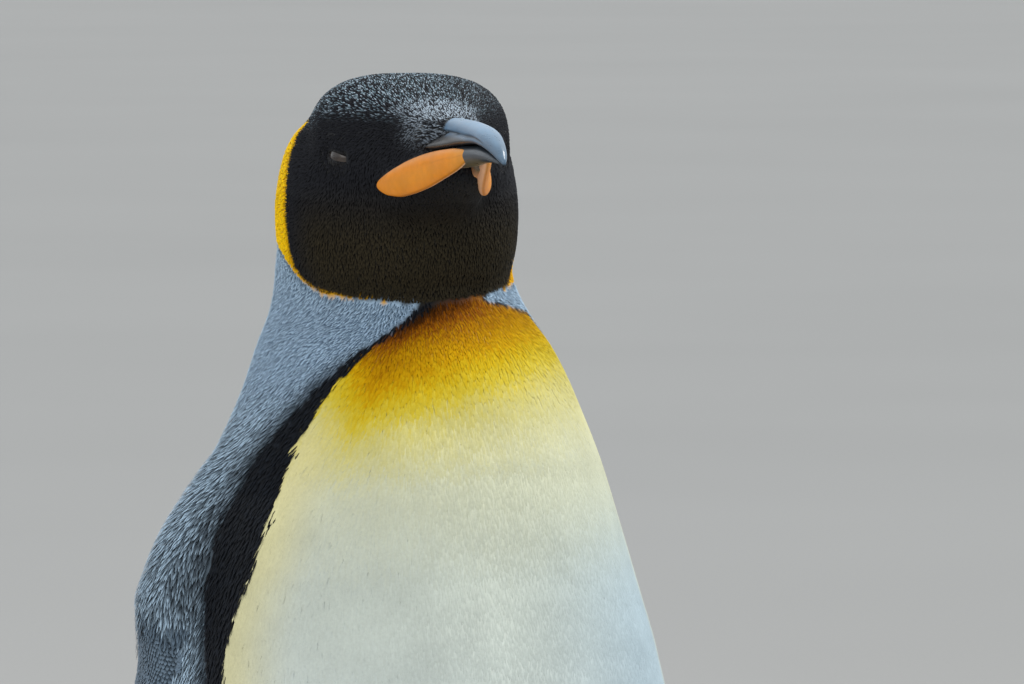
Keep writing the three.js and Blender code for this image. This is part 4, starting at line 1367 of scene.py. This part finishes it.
def bill_rings(table, at, sides, squareness):
    """Sections across the bill at the given distances forward."""
    angle = np.linspace(0, 2 * np.pi, sides, endpoint=False)
    rings = []
    for w, half, high, low in zip(at, *curve(table, at).T):
        x, z = rounded(angle, half, (high - low) / 2, (high + low) / 2, squareness)
        rings.append(in_head(w * MM, x * MM, z * MM))
    return np.array(rings)


def side_rings(table, thickness, side, count, sides, squareness=SIDE_SECTION):
    """Distances forward, and sections of a plate on one side of the bill."""
    at = stations_along(table, count)
    out, top, bottom, *share = curve(table, at).T
    share = share[0] if share else np.ones(count)
    angle = np.linspace(0, 2 * np.pi, sides, endpoint=False)
    rings = []
    for w, o, high, low, s in zip(at, out, top, bottom, share):
        x, z = rounded(angle, thickness * s / 2, (high - low) / 2, (high + low) / 2, squareness)
        rings.append(in_head(w * MM, side * (o - thickness / 2 + x) * MM, z * MM))
    return at, np.array(rings)


def heights(rings):
    """Share of the way up each ring, from its lowest point to its highest."""
    z = rings[..., 2]
    low, high = z.min(1, keepdims=True), z.max(1, keepdims=True)
    return (z - low) / np.maximum(high - low, 1e-6)


def horn_piece(name, points, faces, colours, material, replaced):
    """A piece of the bill, an eyeball or a claw."""
    piece = new_object(name, points, faces)
    set_colours(piece, colours, "horn_colour")
    piece.data.materials.append(material)
    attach(piece, "root")
    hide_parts(*replaced)
    return piece


FLESH_IN_BILL, FLESH_IN_RAMUS = 86, 98  # the skin reaches inside the horn as far forward as this
RIDGE_DEPTH = 5.2
FEATHERS_ON_BILL = 66
# Painted sky reflection on the black horn: blue on the ridge plate with a painted highlight along its top,
# and along the side plates' top edge.
RIDGE_SKY_REFLECTION = paint("587590")
RIDGE_HIGHLIGHT = paint("7F9EB8")
# Painted shade in the groove under the ridge plate and along the upper bill's lower edge.
GROOVE_AND_EDGE_SHADE = paint("1A1E22")
SIDE_HORN = paint("2A2826")
SIDE_EDGE_SKY_REFLECTION = paint("42627E")
TIP_HORN = paint("3C464F")
LOWER_HORN = paint("283038")
LOWER_STRIP = paint("665C48")
PLATE_FLESH = paint("D29A70")
PLATE_ORANGE = paint("DE8614")
PLATE_DEEP = paint("D08A20")
PLATE_PINK = paint("DDA070")
# Paler peach of painted light on the plates' inner faces.
PLATE_INNER_PAINTED_LIGHT = paint("F0BC98")
PLATE_FRONT = paint("D4963C")
# Dark of the crack, also painted as shade along the plate's lower edge and rear end.
PLATE_CRACK_AND_RIM_SHADE = paint("6E3A1C")
CLAW_ROOT = paint("1B1816")
CLAW_TIP = paint("4A423B")
EYE_BROWN = paint("302824")
IRIS = paint("3D342E")
PUPIL = paint("2E2723")
EYE_RIM = paint("2A211B")
CORNEA = 0.035  # how far the cornea stands out, to the eyeball's radius


def upper_bill(material):
    """Upper bill: a narrow ridge plate, a groove under it on each side, and the side plates.

    Returns its points, and its triangles that small feathers cover.
    """
    at = stations_along(UPPER_BILL, UPPER_STATIONS)
    angle = np.linspace(0, 2 * np.pi, UPPER_SIDES, endpoint=False)
    squareness = np.where(angle > np.pi, SHARP_SECTION, ROUND_SECTION)
    rings, colours, covers = [], [], []
    for w, half, high, low in zip(at, *curve(UPPER_BILL, at).T):
        x, z = rounded(angle, half, (high - low) / 2, (high + low) / 2, squareness)
        below = high - z
        limit = min(RIDGE_DEPTH, 0.62 * (high - low))
        share = read(RIDGE_SHARE, w)
        x = x * (share + (1 - share) * eased(below, limit - 0.2, 0.92 * (high - low)))
        span = eased(w, 87, 92) * eased(w, 156, 144)
        cut = np.exp(-(((below - limit) / 0.5) ** 2)) * span
        bulge = eased(below, limit, limit - 0.9) * span * 0.35
        reach = np.maximum(np.hypot(x, z - (high + low) / 2), 1)
        x = x * (1 + (bulge - 0.6 * cut) / reach)
        rings.append(in_head(w * MM, x * MM, z * MM))
        # painted sky reflection and highlight on the ridge, and painted sky reflection along the side
        # plate's top edge
        ridge = mixed(RIDGE_SKY_REFLECTION, RIDGE_HIGHLIGHT, 0.4 * eased(below, 2.6, 0.4))
        flank = mixed(SIDE_EDGE_SKY_REFLECTION, SIDE_HORN, eased(below, limit + 0.4, limit + 2.4))
        colour = mixed(flank, ridge, eased(below, limit + 0.1, limit - 0.1))
        # painted shade in the groove
        colour = mixed(colour, GROOVE_AND_EDGE_SHADE, 0.85 * cut)
        colour = mixed(colour, TIP_HORN, 0.45 * eased(w, 140, 168))
        # painted shade along the lower edge
        colour = mixed(colour, GROOVE_AND_EDGE_SHADE, 0.7 * eased(z, low + 0.7, low))
        rise = np.clip(1 - (below - limit) / (high - low - limit), 0, 1)
        edge = np.where(below < limit, RIDGE_START, FLANK_START + FLANK_SLANT * rise**1.1)
        colours.append(mixed(colour, HOOD_BLACK[0], eased(edge - w, -0.4, 0.4)))
        covers.append(w < edge)
    points, faces = lofted(np.array(rings))
    cover = np.concatenate([*covers, [False, False]])
    ahead = head_places(points)[0] / MM
    covered = cover[faces].all(1) & (ahead[faces].min(1) > FEATHERS_ON_BILL)
    colours = with_ends(np.array(colours), 0)
    horn_piece("bill_ridge", points, faces, colours, material, ["bill_upper"])
    return points, faces[covered]


def lower_bill(material):
    """Both halves of the lower bill and their joined front, as one form."""
    forms = [side_rings(RAMUS, RAMUS_THICKNESS, side, RAMUS_STATIONS, RAMUS_SIDES) for side in (-1, 1)]
    at = stations_along(LOWER_TIP, LOWER_STATIONS)
    forms.append((at, bill_rings(LOWER_TIP, at, LOWER_SIDES, ROUND_SECTION)))
    parts = []
    for at, rings in forms:
        share, w = heights(rings), at[:, None]
        strip = eased(share, 0.34, 0.18) * eased(w, 92, 112) * eased(w, 152, 140)
        colour = mixed(LOWER_HORN, LOWER_STRIP, 0.85 * strip)
        colour = mixed(colour, PLATE_FLESH, eased(w, 112, 96) * eased(share, 0.9, 0.6))
        parts.append((*lofted(rings), with_ends(colour)))
    points, faces = joined(parts)
    colours = np.concatenate([part[2] for part in parts])
    horn_piece("bill_under", points, faces, colours, material, ["bill_lower"])


def plate(side, material):
    """Coloured plate on one side of the lower bill, with a thin rim of painted shade along its lower edge
    and rear end, a paler inner face of painted light, and a fine crack near its front.
    """
    at, rings = side_rings(PLATE, PLATE_THICKNESS, side, PLATE_STATIONS, PLATE_SIDES, PLATE_SECTION)
    share, w = heights(rings), at[:, None]
    centre = eased(np.abs(share - 0.40), 0.36, 0.05) * eased(np.abs(w - 84), 36, 8)
    colour = mixed(PLATE_ORANGE, PLATE_DEEP, 0.35 * centre)
    colour = mixed(colour, PLATE_PINK, 0.55 * eased(share, 0.72, 0.98))
    colour = mixed(colour, PLATE_FRONT, 0.5 * eased(w, 108, 128))
    crack = np.exp(-(((share - (0.62 - 0.003 * (w - 108))) / 0.035) ** 2)) * eased(w, 84, 96)
    colour = mixed(colour, PLATE_CRACK_AND_RIM_SHADE, (0.55 if side > 0 else 0.15) * crack)
    # painted shade along the lower edge and the rear end
    rim = np.maximum(eased(share, 0.05, 0.0), eased(w, 51.5, 49.5))
    colour = mixed(colour, PLATE_CRACK_AND_RIM_SHADE, 0.35 * rim)
    # painted light: the inner face is painted a paler peach
    inward = (rings.mean(1, keepdims=True) - rings) @ LEFT * side / MM
    colour = mixed(colour, PLATE_INNER_PAINTED_LIGHT, 0.9 * eased(inward, -0.4, 0.8))
    points, faces = lofted(rings)
    word = "left" if side > 0 else "right"
    name, colours = f"bill_plate_{word}", with_ends(colour)
    horn_piece(name, points, faces, colours, material, [f"plate_{word}"])
    return points, faces


def eye(side, material):
    """Eyeball with an iris and pupil drawn by the angle from its aim, and a slight corneal bulge."""
    centre, aim, ahead, upward = eye_frame(side)
    tilt = np.linspace(0, np.pi, EYE_STATIONS)[:, None, None]
    spin = np.linspace(0, 2 * np.pi, EYE_SIDES, endpoint=False)[:, None]
    around = np.cos(spin) * ahead + np.sin(spin) * upward
    radius = EYE_RADIUS * (1 + CORNEA * np.exp(-((tilt / 0.55) ** 2))) / (1 + CORNEA)
    points, faces = lofted(centre + radius * (np.cos(tilt) * aim + np.sin(tilt) * around))
    tilt = np.repeat(tilt[..., 0], EYE_SIDES, 1)
    colour = mixed(EYE_BROWN, IRIS, eased(tilt, 0.9, 0.7) * eased(tilt, 0.25, 0.4))
    colour = mixed(colour, PUPIL, 0.7 * eased(tilt, 0.28, 0.22))
    colour = mixed(colour, EYE_RIM, eased(tilt, 0.95, 1.05))
    word = "left" if side > 0 else "right"
    horn_piece(f"eyeball_{word}", points, faces, with_ends(colour), material, [f"eye_{word}"])


def claws():
    """Each horn claw, rounded from its CAD form."""
    material = horn_material("mat_claw", 0.34, (300, 90, 300), 0.25)
    for word in ("left", "right"):
        for toe in ("inner", "middle", "outer", "hallux"):
            source = f"claw_{toe}_{word}"
            points, faces, _ = node_arrays(source)
            points, faces = remade(points, faces, "SUBSURF", levels=2)
            ahead = -points[:, 1]
            colours = mixed(CLAW_ROOT, CLAW_TIP, 0.7 * eased(ahead, ahead.min(), ahead.max()))
            horn_piece(f"nail_{toe}_{word}", points, faces, colours, material, [source])


# ------------ floor and light

FLOOR_HALF = 150.0
LIGHTS = [
    # name, metres to the camera's right, towards it and up from the bird, size, power and tint
    ("key", 1.6, -0.9, 3.0, 1.1, 86, (1.0, 0.97, 0.91)),
    ("fill", -1.8, 2.6, 1.2, 2.4, 24, (1.0, 0.98, 0.95)),
    ("side", 2.6, 1.4, 0.5, 2.0, 9, (0.66, 0.83, 1.0)),
]
LIT_PLACE = Vector((0, 0, 0.5))
SKY, SKY_STRENGTH = (0.91, 0.955, 1.0, 1), 0.95


def make_floor():
    corners = np.array([[-1, -1, 0], [1, -1, 0], [1, 1, 0], [-1, 1, 0]]) * FLOOR_HALF
    floor = new_object("floor", corners, np.array([[0, 1, 2, 3]]))
    floor.data.materials.append(floor_material())


def make_light():
    world = bpy.data.worlds.new("studio")
    world.use_nodes = True
    background = next(n for n in world.node_tree.nodes if n.type == "BACKGROUND")
    background.inputs["Color"].default_value = SKY
    background.inputs["Strength"].default_value = SKY_STRENGTH
    bpy.context.scene.world = world
    for name, right, back, rise, size, power, tint in LIGHTS:
        data = bpy.data.lights.new(name, "AREA")
        data.shape = "DISK"
        data.size = size
        data.energy = power
        data.color = tint
        light = bpy.data.objects.new(name, data)
        light.location = CAMERA_TARGET + CAMERA_RIGHT * right + LEVEL_BACK * back + Vector((0, 0, rise))
        light.rotation_euler = aimed(light.location, LIT_PLACE)
        bpy.context.scene.collection.objects.link(light)
    bpy.context.scene.view_settings.view_transform = "Standard"


# ------------ build

LID_SKIN = paint("0B0B0D")
OPEN_SKIN, BARE_SKIN = 0.7, 0.9  # shares of the lids' reach without skin, and without the skin's feathers
UNDER_FLESH = 0.2 * MM  # feathers stand on the bill where it is no deeper than this under the skin


def make_skin(points, quads, kinds, lid_shells):
    """One skin over all the flesh, open in front of the eyes, with the lids joined to it."""
    open_quads = quads[~over_eye(points[quads].mean(1), OPEN_SKIN * LID_REACH)]
    all_points, all_quads = joined([(points, open_quads), *lid_shells])
    used, faces = np.unique(all_quads, return_inverse=True)
    piece = new_object("skin", all_points[used], faces.reshape(-1, 4))
    on_lids = len(all_points) - len(points)
    colours = mixed(*coat_colours(points, kinds, 0.0, 0.5), 0.5)
    set_colours(piece, np.concatenate([colours, np.tile(LID_SKIN, (on_lids, 1))])[used])
    bare = np.concatenate([kinds == FOOT, np.ones(on_lids, bool)])[used]
    piece.data.attributes.new("bare", "FLOAT", "POINT").data.foreach_set("value", bare.astype(np.float32))
    piece.data.materials.append(skin_material())
    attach(piece, "root")
    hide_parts(*FLESH)


def feathered_ground(points, quads, kinds, depth, lid_shells, bill, tree):
    """Everything that feathers stand on: the skin, the lids and the covered root of the bill."""
    bill_points, bill_faces = bill
    outside = []
    for middle in bill_points[bill_faces].mean(1):
        spot, normal, _, _ = tree.find_nearest(middle)
        outside.append((Vector(middle) - spot) @ normal > -UNDER_FLESH)
    triangles = halved(quads[~over_eye(points[quads].mean(1), BARE_SKIN * LID_REACH)])
    parts = [(points, triangles, kinds, depth)]
    rings = len(LID_RINGS) - 1
    for lid_points, lid_quads in lid_shells:
        across = len(lid_quads) // rings
        feathered = halved(lid_quads[FEATHERED_RING * across : (rings - 1) * across])
        parts.append((lid_points, feathered, HEAD, COAT_DEPTH[HEAD]))
    parts.append((bill_points, bill_faces[outside], HEAD, BILL_COAT))
    kinds, depth = (
        np.concatenate([np.broadcast_to(part[column], len(part[0])) for part in parts]) for column in (2, 3)
    )
    return *joined(parts), kinds, depth


def build():
    make_camera()
    make_floor()
    make_light()
    points, quads, kinds, depth = shaped_skin()
    print("skin", len(points), "points", len(quads) * 2, "triangles")
    tree = BVHTree.FromPolygons(points.tolist(), quads.tolist())
    lid_shells = [lids(side, tree) for side in (-1, 1)]
    make_skin(points, quads, kinds, lid_shells)
    horn = horn_material("mat_horn", 0.30, (260, 45, 420), 0.14, coat=0.15, specular=0.4)
    bill = upper_bill(horn)
    lower_bill(horn)
    plate_horn = horn_material("mat_plate", 0.48, (240, 60, 300), 0.04, bump=0.03, specular=0.3)
    plate_points, plate_faces = joined([plate(side, plate_horn) for side in (-1, 1)])
    eye_finish = eye_material()
    for side in (-1, 1):
        eye(side, eye_finish)
    claws()
    keep_off = BVHTree.FromPolygons(plate_points.tolist(), plate_faces.tolist())
    grow_coat(*feathered_ground(points, quads, kinds, depth, lid_shells, bill, tree), keep_off)


build()
